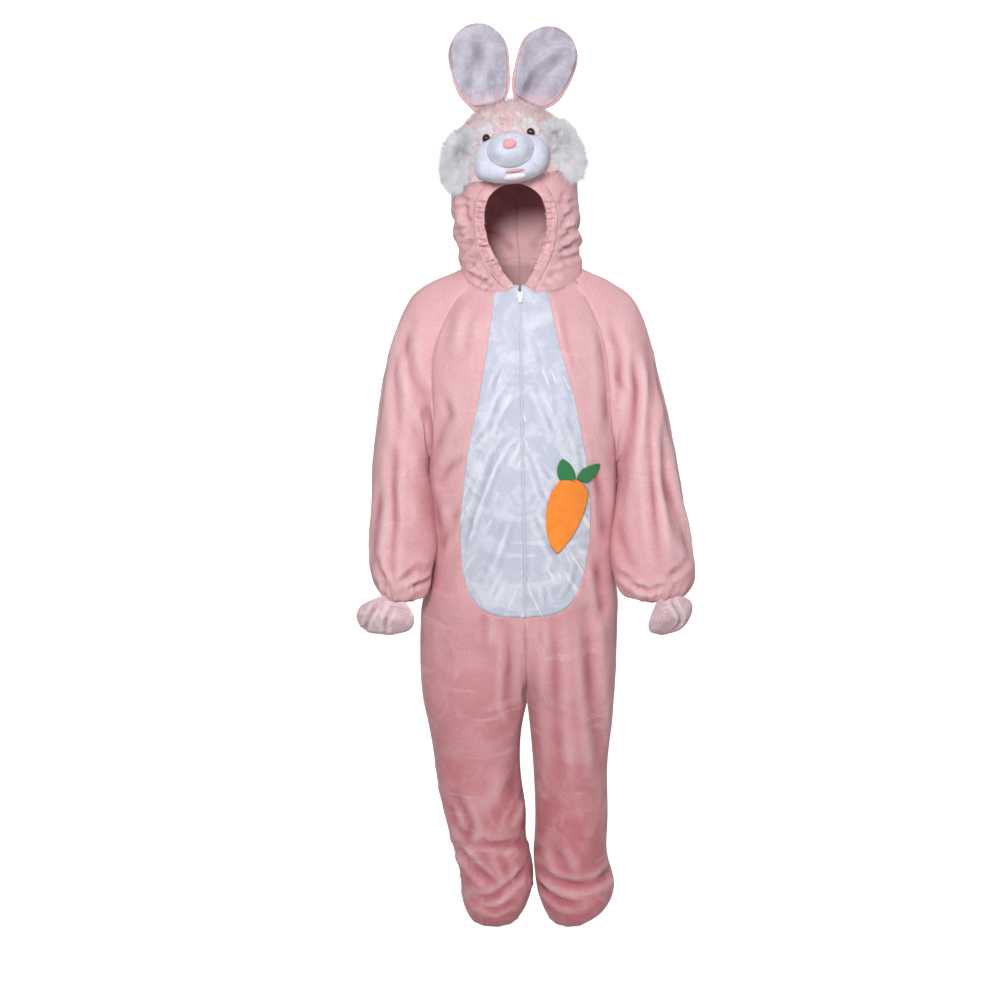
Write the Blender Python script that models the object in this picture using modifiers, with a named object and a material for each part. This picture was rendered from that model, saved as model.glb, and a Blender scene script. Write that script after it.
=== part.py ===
"""Bunny costume: a one-piece plush suit with raglan sleeves, a white belly panel with a centre
zip, a flat carrot, paw flaps, and a hood that carries a stuffed rabbit head with two ears.

Metres, +Z up. The front faces -Y and the wearer's left is +X. The origin is the middle of the
neck opening, where the suit hangs from the wearer's shoulders.
"""
import math
from types import SimpleNamespace

import bmesh
import bpy
from mathutils import Matrix, Vector
from mathutils.bvhtree import BVHTree

# Driving dimensions, in metres
WALL = 0.003                 # plush with its backing
THIN_WALL = 0.0025           # belly plush, casing and inner ears
SEAM_TRIM = 0.00018          # each side of a seam, so pieces stay about 0.3 mm apart
LAID_GAP = 0.0006            # under flat pieces laid on a panel
PAD_GAP = 0.0016             # under stuffed pieces, whose faces are larger
CROWN_GAP = 0.0026
CROWN_EDGE = 0.0020
CASING_WIDTH = 0.019         # elastic casing round the face
SEAM_TURN = 0.6              # how far a raglan seam's direction turns to the sleeve
ZIP_NECK = 0.058             # how far down the zip meets the neck seam
ZIP_WIDTH = 0.0044           # from belly edge to belly edge
CHAIN_WIDTH = 0.0038
CHAIN_THICKNESS = 0.0022
CHAIN_SINK = 0.0008
GATHER_HEM = 0.0028          # half the height of a gather at a leg hem
GATHER_CUFF = 0.0030
GATHER_CASING = 0.0022

# Counts of faces along and across the pieces
RAGLAN_ROWS = 10
FRONT_SIDE_ROWS = 6
BELLY_COLUMNS = 5
LEG_ROWS = 15
FRONT_COLUMNS = 11
BACK_COLUMNS = 8
NECK_COLUMNS = 4
SLEEVE_ROWS = 20
HOOD_COLUMNS = 9
HOOD_SIDE_ROWS = 10
HOOD_TOP_ROWS = 4
CASING_SPANS = 4 * HOOD_SIDE_ROWS
SLEEVE_COLUMN_COUNT = 2 * RAGLAN_ROWS + NECK_COLUMNS


class Stations:
    """Rows of named measures, read anywhere between them on a smooth curve with no overshoot."""

    def __init__(self, columns, rows):
        self.columns = columns
        self.rows = rows
        self.keys = [row[0] for row in rows]
        self.slopes = [self.column_slopes(index) for index in range(len(columns))]

    def column_slopes(self, index):
        values = [row[index] for row in self.rows]
        steps = [b - a for a, b in zip(self.keys, self.keys[1:])]
        rises = [(b - a) / step for a, b, step in zip(values, values[1:], steps)]
        slopes = [rises[0]]
        for before, after in zip(rises, rises[1:]):
            slopes.append(2 * before * after / (before + after) if before * after > 0 else 0.0)
        slopes.append(rises[-1])
        return slopes

    def at(self, key):
        key = min(max(key, self.keys[0]), self.keys[-1])
        span = 0
        while span < len(self.keys) - 2 and key > self.keys[span + 1]:
            span += 1
        step = self.keys[span + 1] - self.keys[span]
        t = (key - self.keys[span]) / step
        found = {}
        for index, name in enumerate(self.columns):
            start, end = self.rows[span][index], self.rows[span + 1][index]
            start_slope = self.slopes[index][span] * step
            end_slope = self.slopes[index][span + 1] * step
            found[name] = ((2 * t ** 3 - 3 * t ** 2 + 1) * start + (t ** 3 - 2 * t ** 2 + t) * start_slope
                           + (3 * t ** 2 - 2 * t ** 3) * end + (t ** 3 - t ** 2) * end_slope)
        return SimpleNamespace(**found)


# The suit from neck to hem. down: along the cloth below the origin; height: Z; right and left:
# how far the sides stand out; middle: X of the middle seam; gap: half the space between the legs;
# front and back: depth; square: 1 for an oval section, less for a fuller one.
BODY = Stations(
    ("down", "height", "right", "left", "middle", "gap", "front", "back", "square"),
    [
        (0.000, 0.000, 0.092, 0.092, -0.006, 0.0000, 0.070, 0.068, 1.00),
        (0.020, -0.020, 0.106, 0.102, -0.006, 0.0000, 0.084, 0.075, 1.10),
        (0.027, -0.027, 0.114, 0.110, -0.006, 0.0000, 0.088, 0.078, 1.20),
        (0.040, -0.040, 0.130, 0.130, -0.005, 0.0000, 0.093, 0.083, 1.50),
        (0.053, -0.053, 0.150, 0.150, -0.005, 0.0000, 0.097, 0.088, 1.65),
        (0.082, -0.082, 0.170, 0.170, -0.005, 0.0000, 0.106, 0.098, 1.40),
        (0.115, -0.115, 0.182, 0.180, -0.005, 0.0000, 0.112, 0.107, 1.06),
        (0.150, -0.150, 0.187, 0.184, -0.004, 0.0000, 0.117, 0.113, 0.92),
        (0.220, -0.220, 0.189, 0.186, -0.003, 0.0000, 0.125, 0.120, 0.82),
        (0.300, -0.300, 0.184, 0.184, -0.002, 0.0000, 0.132, 0.121, 0.84),
        (0.350, -0.350, 0.178, 0.179, -0.001, 0.0000, 0.136, 0.119, 0.86),
        (0.385, -0.385, 0.174, 0.175, 0.000, 0.0000, 0.138, 0.117, 0.88),
        (0.500, -0.500, 0.171, 0.172, 0.002, 0.0000, 0.143, 0.113, 0.88),
        (0.590, -0.590, 0.170, 0.171, 0.004, 0.0000, 0.143, 0.121, 0.88),
        (0.650, -0.650, 0.190, 0.182, 0.004, 0.0000, 0.140, 0.130, 0.89),
        (0.700, -0.700, 0.200, 0.185, 0.004, 0.0000, 0.136, 0.137, 0.90),
        (0.780, -0.780, 0.203, 0.184, 0.006, 0.0000, 0.129, 0.138, 0.92),
        (0.850, -0.850, 0.201, 0.180, 0.008, 0.0000, 0.119, 0.129, 0.95),
        (0.880, -0.880, 0.197, 0.179, 0.008, 0.0003, 0.114, 0.123, 0.97),
        (0.920, -0.920, 0.188, 0.178, 0.005, 0.0070, 0.108, 0.116, 1.00),
        (0.960, -0.960, 0.179, 0.173, 0.005, 0.0140, 0.103, 0.110, 1.00),
        (1.010, -1.010, 0.176, 0.166, 0.007, 0.0130, 0.099, 0.104, 1.00),
        (1.060, -1.060, 0.170, 0.169, 0.011, 0.0130, 0.095, 0.099, 1.00),
        (1.110, -1.110, 0.159, 0.171, 0.017, 0.0080, 0.091, 0.096, 1.00),
        (1.162, -1.162, 0.147, 0.169, 0.013, 0.0110, 0.088, 0.093, 1.00),
        (1.190, -1.190, 0.140, 0.167, 0.017, 0.0030, 0.087, 0.092, 1.00),
        (1.215, -1.215, 0.132, 0.172, 0.021, 0.0008, 0.087, 0.091, 1.00),
        (1.240, -1.240, 0.125, 0.183, 0.023, 0.0008, 0.089, 0.091, 1.00),
        (1.266, -1.266, 0.126, 0.188, 0.024, 0.0030, 0.089, 0.091, 1.00),
        (1.292, -1.290, 0.125, 0.182, 0.023, 0.0080, 0.086, 0.088, 1.00),
        (1.318, -1.310, 0.120, 0.170, 0.021, 0.0180, 0.078, 0.080, 1.00),
        (1.342, -1.323, 0.112, 0.150, 0.022, 0.0270, 0.064, 0.068, 1.00),
        (1.360, -1.333, 0.108, 0.139, 0.022, 0.0300, 0.054, 0.060, 1.00),
    ],
)
HEM = BODY.keys[-1]
UNDERARM = 0.385
FORK_START = 0.700
CROTCH = 0.880
GATHER_START = 1.300

# The raglan seams, from neck to underarm: how far each stands from X = 0.
FRONT_RAGLAN = Stations(("down", "right", "left"), [
    (0.053, 0.102, 0.100), (0.082, 0.122, 0.117), (0.115, 0.146, 0.137), (0.150, 0.158, 0.149),
    (0.180, 0.167, 0.155), (0.220, 0.169, 0.159), (0.268, 0.168, 0.163), (0.305, 0.167, 0.166),
    (0.358, 0.168, 0.170), (0.385, 0.174, 0.175),
])
BACK_RAGLAN = Stations(("down", "right", "left"), [
    (0.020, 0.084, 0.080), (0.045, 0.106, 0.104), (0.080, 0.132, 0.130), (0.120, 0.149, 0.147),
    (0.160, 0.159, 0.157), (0.200, 0.163, 0.162), (0.260, 0.165, 0.164), (0.320, 0.166, 0.165),
    (0.360, 0.169, 0.169), (0.385, 0.174, 0.175),
])

# The neck seam: how far down it lies at each angle round from the middle of the front.
NECK = Stations(("round", "down"), [
    (0.0, 0.059), (10.0, 0.053), (19.0, 0.065), (28.0, 0.067), (38.0, 0.064), (51.0, 0.053),
    (64.0, 0.040), (76.0, 0.031), (90.0, 0.027), (106.0, 0.024), (130.0, 0.020), (152.0, 0.014),
    (180.0, 0.012),
])
CASING_NECK_START = 10.0
CASING_NECK_END = 19.0
BELLY_NECK_END = 28.0

# The belly panel's outer edge, down to its lower corner, and its lower edge from there inwards.
BELLY_EDGE = Stations(("down", "right", "left"), [
    (0.067, 0.050, 0.046), (0.155, 0.064, 0.065), (0.257, 0.080, 0.095), (0.339, 0.099, 0.112),
    (0.418, 0.111, 0.126), (0.500, 0.120, 0.129), (0.564, 0.117, 0.121), (0.608, 0.110, 0.111),
    (0.634, 0.097, 0.099),
])
BELLY_FOOT = Stations(("share", "down"), [(0.0, 0.668), (0.35, 0.666), (0.70, 0.656), (1.0, 0.634)])

# Each sleeve's rings: the outer point, the inner point, how far forward the ring's middle lies,
# and half its depth. The seam to the suit comes before the first.
SLEEVE_COLUMNS = ("ring", "outer", "outer_height", "inner", "inner_height", "forward", "depth")
SLEEVE_LEFT = Stations(SLEEVE_COLUMNS, [
    (1, 0.174, -0.057, 0.187, -0.397, 0.000, 0.074), (2, 0.211, -0.085, 0.189, -0.406, 0.000, 0.079),
    (3, 0.238, -0.154, 0.189, -0.415, 0.000, 0.080), (4, 0.257, -0.230, 0.189, -0.428, 0.004, 0.080),
    (5, 0.274, -0.303, 0.186, -0.446, 0.012, 0.079), (6, 0.287, -0.370, 0.183, -0.470, 0.020, 0.078),
    (7, 0.299, -0.430, 0.179, -0.500, 0.030, 0.077), (8, 0.310, -0.490, 0.176, -0.532, 0.042, 0.076),
    (9, 0.319, -0.545, 0.174, -0.565, 0.053, 0.076), (10, 0.325, -0.590, 0.174, -0.593, 0.062, 0.076),
    (11, 0.3255, -0.611, 0.178, -0.613, 0.066, 0.073), (12, 0.316, -0.631, 0.185, -0.632, 0.068, 0.063),
    (13, 0.300, -0.643, 0.198, -0.643, 0.069, 0.051), (14, 0.286, -0.649, 0.210, -0.650, 0.070, 0.039),
    (15, 0.283, -0.663, 0.213, -0.664, 0.070, 0.037),
])
SLEEVE_RIGHT = Stations(SLEEVE_COLUMNS, [
    (1, 0.176, -0.056, 0.187, -0.397, 0.000, 0.074), (2, 0.213, -0.084, 0.188, -0.406, 0.000, 0.079),
    (3, 0.246, -0.154, 0.188, -0.414, 0.000, 0.080), (4, 0.263, -0.230, 0.186, -0.426, 0.004, 0.080),
    (5, 0.274, -0.303, 0.180, -0.446, 0.012, 0.079), (6, 0.282, -0.370, 0.178, -0.470, 0.020, 0.078),
    (7, 0.285, -0.430, 0.176, -0.500, 0.030, 0.077), (8, 0.288, -0.490, 0.174, -0.532, 0.042, 0.076),
    (9, 0.2895, -0.545, 0.175, -0.565, 0.053, 0.075), (10, 0.290, -0.590, 0.177, -0.593, 0.062, 0.074),
    (11, 0.286, -0.611, 0.178, -0.613, 0.066, 0.069), (12, 0.277, -0.631, 0.181, -0.632, 0.068, 0.060),
    (13, 0.266, -0.643, 0.190, -0.643, 0.069, 0.050), (14, 0.261, -0.649, 0.196, -0.650, 0.070, 0.038),
    (15, 0.259, -0.663, 0.198, -0.664, 0.070, 0.036),
])
LAST_RING = SLEEVE_LEFT.keys[-1]
SHOULDER_ANGLE = 20.0        # of the sleeve's ring on each side of its top, at the neck seam

# The hood from the neck seam to the level where its dome starts, and its dome.
HOOD = Stations(("share", "middle", "half", "front", "back"), [
    (0.00, -0.006, 0.108, 0.095, 0.076), (0.20, -0.010, 0.112, 0.097, 0.090),
    (0.45, -0.012, 0.1185, 0.100, 0.108), (0.75, -0.014, 0.1180, 0.104, 0.120),
    (1.00, -0.015, 0.117, 0.106, 0.123),
])
DOME_LEVEL = 0.135
DOME_CENTRE = Vector((-0.015, 0.0, DOME_LEVEL))
DOME_HEIGHT = 0.116
FACE_OPENING = Stations(("height", "half"), [
    (-0.052, 0.0100), (-0.030, 0.027), (-0.007, 0.038), (0.013, 0.048), (0.038, 0.0555),
    (0.063, 0.0580), (0.091, 0.054), (0.110, 0.0445), (0.122, 0.030), (0.129, 0.012), (0.130, 0.0),
])

# The stuffed rabbit head, in its own frame: centred in the dome and turned on the wearer's head
HEAD_TURN = math.radians(7.8)
CROWN_HALF = 0.121
CROWN_FRONT = 0.134
CROWN_BACK = 0.128
CROWN_HEIGHT = 0.144

# Largest folds: from (x, z) to (x, z), half width, and depth, negative for a ridge
FRONT_FOLDS = [
    (-0.058, -0.645, -0.058, -0.700, 0.014, -0.004), (-0.028, -0.680, -0.028, -0.830, 0.015, 0.006),
    (0.029, -0.665, 0.030, -0.755, 0.016, 0.006), (0.122, -0.670, 0.142, -0.950, 0.022, 0.009),
    (-0.150, -0.700, -0.120, -0.940, 0.024, 0.006), (-0.120, -1.145, -0.024, -1.152, 0.020, 0.007),
    (-0.112, -1.180, -0.060, -1.232, 0.018, 0.006), (-0.087, -1.272, 0.006, -1.222, 0.018, 0.006),
    (0.037, -1.213, 0.099, -1.238, 0.018, 0.007), (0.099, -1.238, 0.170, -1.243, 0.018, 0.007),
    (0.030, -1.262, 0.111, -1.279, 0.016, 0.005), (-0.150, -0.985, -0.060, -1.000, 0.022, 0.004),
    (0.050, -1.040, 0.140, -1.060, 0.022, 0.004), (-0.128, -0.420, -0.140, -0.600, 0.020, 0.004),
    (0.140, -0.420, 0.145, -0.620, 0.016, 0.004),
]
BACK_FOLDS = [
    (-0.040, -0.700, -0.060, -0.840, 0.022, 0.006), (0.050, -0.690, 0.070, -0.850, 0.022, 0.006),
    (-0.130, -0.230, -0.060, -0.300, 0.024, 0.004), (0.130, -0.240, 0.065, -0.300, 0.024, 0.004),
    (-0.110, -0.560, 0.000, -0.585, 0.024, 0.005), (0.010, -0.600, 0.120, -0.570, 0.024, 0.005),
    (-0.130, -1.000, -0.050, -1.020, 0.022, 0.006), (0.060, -1.010, 0.140, -1.030, 0.022, 0.006),
    (-0.110, -1.180, -0.030, -1.200, 0.020, 0.006), (0.060, -1.195, 0.150, -1.215, 0.020, 0.006),
    (-0.090, -1.262, 0.000, -1.250, 0.016, 0.005), (0.060, -1.262, 0.150, -1.270, 0.016, 0.005),
]
SLEEVE_FOLDS = {
    -1: [
        (-0.206, -0.107, -0.214, -0.200, 0.015, 0.008), (-0.214, -0.200, -0.198, -0.245, 0.015, 0.008),
        (-0.198, -0.245, -0.176, -0.370, 0.015, 0.008), (-0.238, -0.190, -0.232, -0.360, 0.014, 0.006),
        (-0.262, -0.330, -0.258, -0.520, 0.018, 0.005), (-0.205, -0.420, -0.210, -0.580, 0.016, 0.006),
        (-0.275, -0.600, -0.190, -0.615, 0.012, 0.005),
    ],
    1: [
        (0.205, -0.150, 0.206, -0.300, 0.015, 0.007), (0.229, -0.140, 0.233, -0.480, 0.015, 0.008),
        (0.263, -0.310, 0.268, -0.450, 0.015, 0.006), (0.205, -0.430, 0.210, -0.570, 0.016, 0.006),
        (0.285, -0.470, 0.292, -0.560, 0.014, 0.005), (0.195, -0.605, 0.300, -0.600, 0.012, 0.005),
    ],
}

PINK = ("plush_pink", (0.79, 0.36, 0.39), 0.75)
WHITE = ("plush_white", (0.62, 0.65, 0.74), 0.70)
CASING_PINK = ("casing_pink", (0.76, 0.33, 0.36), 0.80)
MOTTLED = ("pile_mottled", (0.85, 0.62, 0.62), 0.85)
LONG_FUR = ("fur_long_white", (0.68, 0.68, 0.72), 0.90)
PAW_PINK = ("plush_mauve", (0.66, 0.46, 0.50), 0.75)
FELT_ORANGE = ("felt_orange", (0.95, 0.30, 0.05), 0.90)
FELT_GREEN = ("felt_green", (0.05, 0.25, 0.10), 0.90)
ZIP_WHITE = ("zip_white", (0.85, 0.86, 0.90), 0.35)
EYE_DARK = ("eye_plastic", (0.03, 0.01, 0.01), 0.10)
NOSE_PINK = ("velour_pink", (0.88, 0.40, 0.40), 0.70)


def lerp(a, b, share):
    return a + (b - a) * share


def powered(value, power):
    """A signed power, which squares or pinches an oval."""
    return math.copysign(abs(value) ** power, value)


def fold_depth(x, z, folds):
    """How deep the folds press the cloth in at one place of its front or back."""
    depth = 0.0
    for start_x, start_z, end_x, end_z, width, amount in folds:
        along_x, along_z = end_x - start_x, end_z - start_z
        share = ((x - start_x) * along_x + (z - start_z) * along_z) / (along_x ** 2 + along_z ** 2)
        share = min(max(share, 0.0), 1.0)
        away = math.hypot(x - start_x - share * along_x, z - start_z - share * along_z)
        depth += amount * math.exp(-(away / width) ** 2)
    return depth


# Suit form

def gather(start, end, along, share, count):
    """-1 to 1 across a gather, growing from nothing at the start of the gathered stretch."""
    grown = min(max((along - start) / (end - start), 0.0), 1.0) ** 2
    return -grown * math.cos(math.pi * count * share)


def plain_body_point(side, face, across, down):
    """The suit's outer side without folds. side: 1 for the wearer's left; face: -1 front, 1 back;
    across: 0 at the middle seam, 1 at the side seam."""
    row = BODY.at(down)
    reach = (row.left - row.middle if side > 0 else row.right + row.middle) - row.gap
    fork = min(max((down - FORK_START) / (CROTCH - FORK_START), 0.0), 1.0)
    start = math.radians(90 + 90 * fork ** 1.6)
    angle = start * (1 - across)
    inner = powered(math.cos(start), row.square) if fork > 0 else 0.0
    radius = reach / (1 - inner)
    depth = row.front if face < 0 else row.back
    out = row.gap + reach + radius * (powered(math.cos(angle), row.square) - 1)
    toward = depth * abs(math.sin(angle)) ** row.square
    if across <= 0:
        out = row.gap
    columns = FRONT_COLUMNS if face < 0 else BACK_COLUMNS
    wave = gather(GATHER_START, HEM, down, across, columns) * GATHER_HEM
    if wave:
        centre = row.gap + reach / 2
        length = math.hypot(out - centre, toward)
        out += (out - centre) * wave / length
        toward += toward * wave / length
    return Vector((row.middle + side * out, face * toward, row.height))


def normal_from(point, a, b, step_a, step_b, outward):
    """The unit normal of a surface given by point(a, b), turned to the outward side."""
    along = point(a + step_a, b) - point(a - step_a, b)
    over = point(a, b + step_b) - point(a, b - step_b)
    normal = along.cross(over)
    if normal.length < 1e-12:
        return outward.normalized()
    normal.normalize()
    return normal if normal.dot(outward) > 0 else -normal


def body_normal(side, face, across, down):
    held = min(max(across, 0.01), 0.985)
    at_row = BODY.at(down)
    centre_x = at_row.middle if down < FORK_START else at_row.middle + side * (at_row.gap + 0.08)
    here = plain_body_point(side, face, held, down)
    outward = here - Vector((centre_x, 0, here.z))
    if down > GATHER_START:
        outward.z -= 0.02
    normal = normal_from(lambda a, b: plain_body_point(side, face, a, b), held, down, 0.01, 0.002, outward)
    if across < 0.02 and down < FORK_START:
        normal.x = 0.0
    if across > 0.98 or (across < 0.02 and down > CROTCH):
        normal.y = 0.0
    if across < 0.02 and FORK_START <= down < CROTCH:
        normal.x = 0.0
    if across < 0.02 and abs(down - CROTCH) < 1e-6:
        normal = Vector((-side, 0, -1))
    return normal.normalized()


def body_point(side, face, across, down):
    """The suit's outer side with its folds pressed in, and its normal."""
    plain = plain_body_point(side, face, across, down)
    normal = body_normal(side, face, across, down)
    depth = fold_depth(plain.x, plain.z, FRONT_FOLDS if face < 0 else BACK_FOLDS)
    edge = min(max((1 - across) / 0.12, 0.0), 1.0)
    if down > FORK_START:
        edge *= min(max(across / 0.12, 0.0), 1.0)
    return plain - normal * depth * edge, normal


def across_of(side, down, out):
    """The share across the torso at which the suit stands the given distance from X = 0."""
    row = BODY.at(down)
    reach = row.left - row.middle if side > 0 else row.right + row.middle
    away = out - row.middle if side > 0 else out + row.middle
    share = min(max(away / reach, 0.0), 1.0)
    return math.asin(share ** (1 / row.square)) / (math.pi / 2)


def neck_vertex(side, round_angle):
    face = -1 if round_angle <= 90 else 1
    across = (round_angle if face < 0 else 180 - round_angle) / 90
    return body_point(side, face, across, NECK.at(round_angle).down)


def neck_angles(side):
    """The corners of the neck seam on one side: the casing's, then the hood's columns."""
    front, back = raglan_neck_angle(side, -1), raglan_neck_angle(side, 1)
    corners = [CASING_NECK_START, CASING_NECK_END, (CASING_NECK_END + front) / 2]
    corners += [lerp(front, back, step / NECK_COLUMNS) for step in range(NECK_COLUMNS + 1)]
    return corners + [lerp(back, 180.0, step / 3) for step in range(1, 4)]


def with_corners(side, start, end, count):
    """Angles spread from start to end, the nearest moved to each corner of the neck seam."""
    angles = [lerp(start, end, step / count) for step in range(count + 1)]
    for corner in neck_angles(side):
        if min(start, end) < corner < max(start, end):
            nearest = min(range(1, count), key=lambda step: abs(angles[step] - corner))
            angles[nearest] = corner
    return angles


def neck_seam(side, round_angle):
    """A point and normal of the neck seam, straight between the hood's columns."""
    corners = neck_angles(side)
    if round_angle <= corners[0]:
        return neck_vertex(side, round_angle)
    for low, high in zip(corners, corners[1:]):
        if round_angle <= high + 1e-9:
            share = (round_angle - low) / (high - low)
            (start, start_normal), (end, end_normal) = neck_vertex(side, low), neck_vertex(side, high)
            return lerp(start, end, share), lerp(start_normal, end_normal, share)
    return neck_vertex(side, 180.0)


def raglan_down(face, share):
    """How far down a share of the raglan seam lies, with shares closer near the underarm."""
    table = FRONT_RAGLAN if face < 0 else BACK_RAGLAN
    return lerp(table.keys[0], table.keys[-1], 1 - (1 - share) ** 1.4)


def raglan_point(side, face, share):
    """The raglan seam from the neck, share 0, to the underarm, share 1."""
    table = FRONT_RAGLAN if face < 0 else BACK_RAGLAN
    down = raglan_down(face, share)
    if share <= 0:
        return neck_seam(side, raglan_neck_angle(side, face))
    row = table.at(down)
    across = 1.0 if share >= 1 else across_of(side, down, row.left if side > 0 else row.right)
    return body_point(side, face, across, down)


def raglan_edge(side, face, share):
    """The raglan seam's point, and the direction between the suit's and the sleeve's normals
    along which both walls turn in."""
    point, normal = raglan_point(side, face, share)
    if share <= 0:
        return point, normal
    column = NECK_COLUMNS / 2 + RAGLAN_ROWS * share
    both = normal + SEAM_TURN * sleeve_normal(side, 0.2, column if face < 0 else SLEEVE_COLUMN_COUNT - column)
    return point, both.normalized()


def raglan_neck_angle(side, face):
    table = FRONT_RAGLAN if face < 0 else BACK_RAGLAN
    row = table.at(table.keys[0])
    angle = across_of(side, table.keys[0], row.left if side > 0 else row.right) * 90
    return angle if face < 0 else 180 - angle


# Mesh making

def find_material(finish):
    name, colour, roughness = finish
    material = bpy.data.materials.get(name)
    if material is None:
        material = bpy.data.materials.new(name)
        material.use_nodes = True
        shader = material.node_tree.nodes["Principled BSDF"]
        shader.inputs["Base Color"].default_value = (*colour, 1.0)
        shader.inputs["Roughness"].default_value = roughness
        shader.inputs["Metallic"].default_value = 0.0
    return material


def add_object(name, mesh, finish, parent=None):
    mesh.materials.append(find_material(finish))
    piece = bpy.data.objects.new(name, mesh)
    bpy.data.collections["bunny_costume"].objects.link(piece)
    piece.parent = parent
    return piece


def slab(name, rows, columns, outer, inner, finish, around=False, parent=None):
    """A closed piece between two sides, each given by a function of row and column.
    With around set, the last column meets the first, as on a sleeve."""
    bm = bmesh.new()
    row_of = bm.verts.layers.int.new("row")
    column_of = bm.verts.layers.int.new("column")
    bmesh.ops.create_grid(bm, x_segments=columns, y_segments=rows, size=1.0)
    for vert in bm.verts:
        vert[row_of] = round((vert.co.y + 1) / 2 * rows)
        vert[column_of] = round((vert.co.x + 1) / 2 * columns)
        if around and vert[column_of] == columns:
            vert[column_of] = 0
        vert.co = outer(vert[row_of], vert[column_of])
    if around:
        bmesh.ops.remove_doubles(bm, verts=bm.verts, dist=1e-7)
    turned = bmesh.ops.extrude_face_region(bm, geom=bm.faces[:], use_keep_orig=True)
    for vert in turned["geom"]:
        if isinstance(vert, bmesh.types.BMVert):
            vert.co = inner(vert[row_of], vert[column_of])
    bmesh.ops.recalc_face_normals(bm, faces=bm.faces[:])
    mesh = bpy.data.meshes.new(name)
    bm.to_mesh(mesh)
    bm.free()
    mesh.shade_smooth()
    mesh.set_sharp_from_angle(angle=math.radians(50))
    return add_object(name, mesh, finish, parent)


def drawn_back(grid, row, column, down, over, around):
    """The direction from an edge into the cloth, square to the edge."""
    rows, columns = len(grid) - 1, len(grid[0]) - 1

    def neighbour(step):
        if down:
            place = column + step
            return grid[row][place % columns if around else min(max(place, 0), columns)]
        return grid[min(max(row + step, 0), rows)][column]
    inward = grid[row + down][column + over] - grid[row][column]
    edge = (neighbour(1) - neighbour(-1)).normalized()
    return (inward - edge * inward.dot(edge)).normalized()


def wall(name, rows, columns, place, thickness, finish, around=False, trims=()):
    """A cloth wall. place(row, column) gives a point and its inward direction, and each trim
    names an edge (top, bottom, first, last) that is drawn back from its seam."""
    grid = [[place(row, column) for column in range(columns + 1)] for row in range(rows + 1)]
    outer = [[point.copy() for point, _ in line] for line in grid]
    inner = [[point - normal * thickness for point, normal in line] for line in grid]
    for side in (outer, inner):
        kept = [[point.copy() for point in line] for line in side]
        for row in range(rows + 1):
            for column in range(columns + 1):
                edges = [("top", row == 0, 1, 0), ("bottom", row == rows, -1, 0),
                         ("first", column == 0, 0, 1), ("last", column == columns, 0, -1)]
                for edge, on_edge, down, over in edges:
                    if edge in trims and on_edge:
                        side[row][column] += drawn_back(kept, row, column, down, over, around) * SEAM_TRIM
    return slab(name, rows, columns, lambda row, column: outer[row][column],
                lambda row, column: inner[row][column], finish, around)


def disc_share(row, column, count):
    """Grid places spread over a round disc of radius 1."""
    x, y = 2 * column / count - 1, 2 * row / count - 1
    return x * math.sqrt(1 - y * y / 2), y * math.sqrt(1 - x * x / 2)


def pad(name, count, top, base, finish, parent=None):
    """A stuffed or felt piece over a round or shaped base, from functions of disc places."""
    return slab(name, count, count, lambda row, column: top(*disc_share(row, column, count)),
                lambda row, column: base(*disc_share(row, column, count)), finish, parent=parent)


# Suit panels

def side_name(side):
    return "left" if side > 0 else "right"


def belly_edge_place(side, share):
    """Across and down of the belly's outer edge, share 0 at the neck and 1 at its lower corner."""
    down = lerp(BELLY_EDGE.keys[0], BELLY_EDGE.keys[-1], share)
    row = BELLY_EDGE.at(down)
    return across_of(side, down, row.left if side > 0 else row.right), down


def front_rows():
    """The number of rows beside the belly, along its foot, and down the leg."""
    return RAGLAN_ROWS + FRONT_SIDE_ROWS, BELLY_COLUMNS, LEG_ROWS


def belly_foot_place(side, share):
    corner_across, _ = belly_edge_place(side, 1.0)
    return corner_across * share, BELLY_FOOT.at(share).down


BELLY_SIDE_END = 0.612       # how far down the side seam the rows beside the belly reach
BELLY_FOOT_END = 0.706
SIDE_LEVELS = ([lerp(UNDERARM, BELLY_SIDE_END, i / FRONT_SIDE_ROWS) for i in range(1, FRONT_SIDE_ROWS + 1)]
               + [lerp(BELLY_SIDE_END, BELLY_FOOT_END, i / BELLY_COLUMNS) for i in range(1, BELLY_COLUMNS + 1)])
LEG_LEVELS = [0.750, 0.800, 0.845, CROTCH, 0.930, 0.990, 1.050, 1.110, 1.155, 1.195, 1.230, 1.265,
              1.298, 1.330, HEM]


def front_place(side, row, column):
    beside, foot, _ = front_rows()
    share = column / FRONT_COLUMNS
    if row == 0:
        angles = with_corners(side, BELLY_NECK_END, raglan_neck_angle(side, -1), FRONT_COLUMNS)
        return neck_seam(side, angles[column])
    if row <= beside:
        inner_across, inner_down = belly_edge_place(side, row / beside)
    elif row <= beside + foot:
        inner_across, inner_down = belly_foot_place(side, 1 - (row - beside) / foot)
    else:
        inner_across, inner_down = 0.0, LEG_LEVELS[row - beside - foot - 1]
    if row <= RAGLAN_ROWS:
        if column == FRONT_COLUMNS:
            return raglan_edge(side, -1, row / RAGLAN_ROWS)
        outer_down = raglan_down(-1, row / RAGLAN_ROWS)
        edge = FRONT_RAGLAN.at(outer_down)
        outer_across = across_of(side, outer_down, edge.left if side > 0 else edge.right)
    elif row <= beside + foot:
        outer_across, outer_down = 1.0, SIDE_LEVELS[row - RAGLAN_ROWS - 1]
    else:
        outer_across, outer_down = 1.0, inner_down
    return body_point(side, -1, lerp(inner_across, outer_across, share), lerp(inner_down, outer_down, share))


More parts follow.
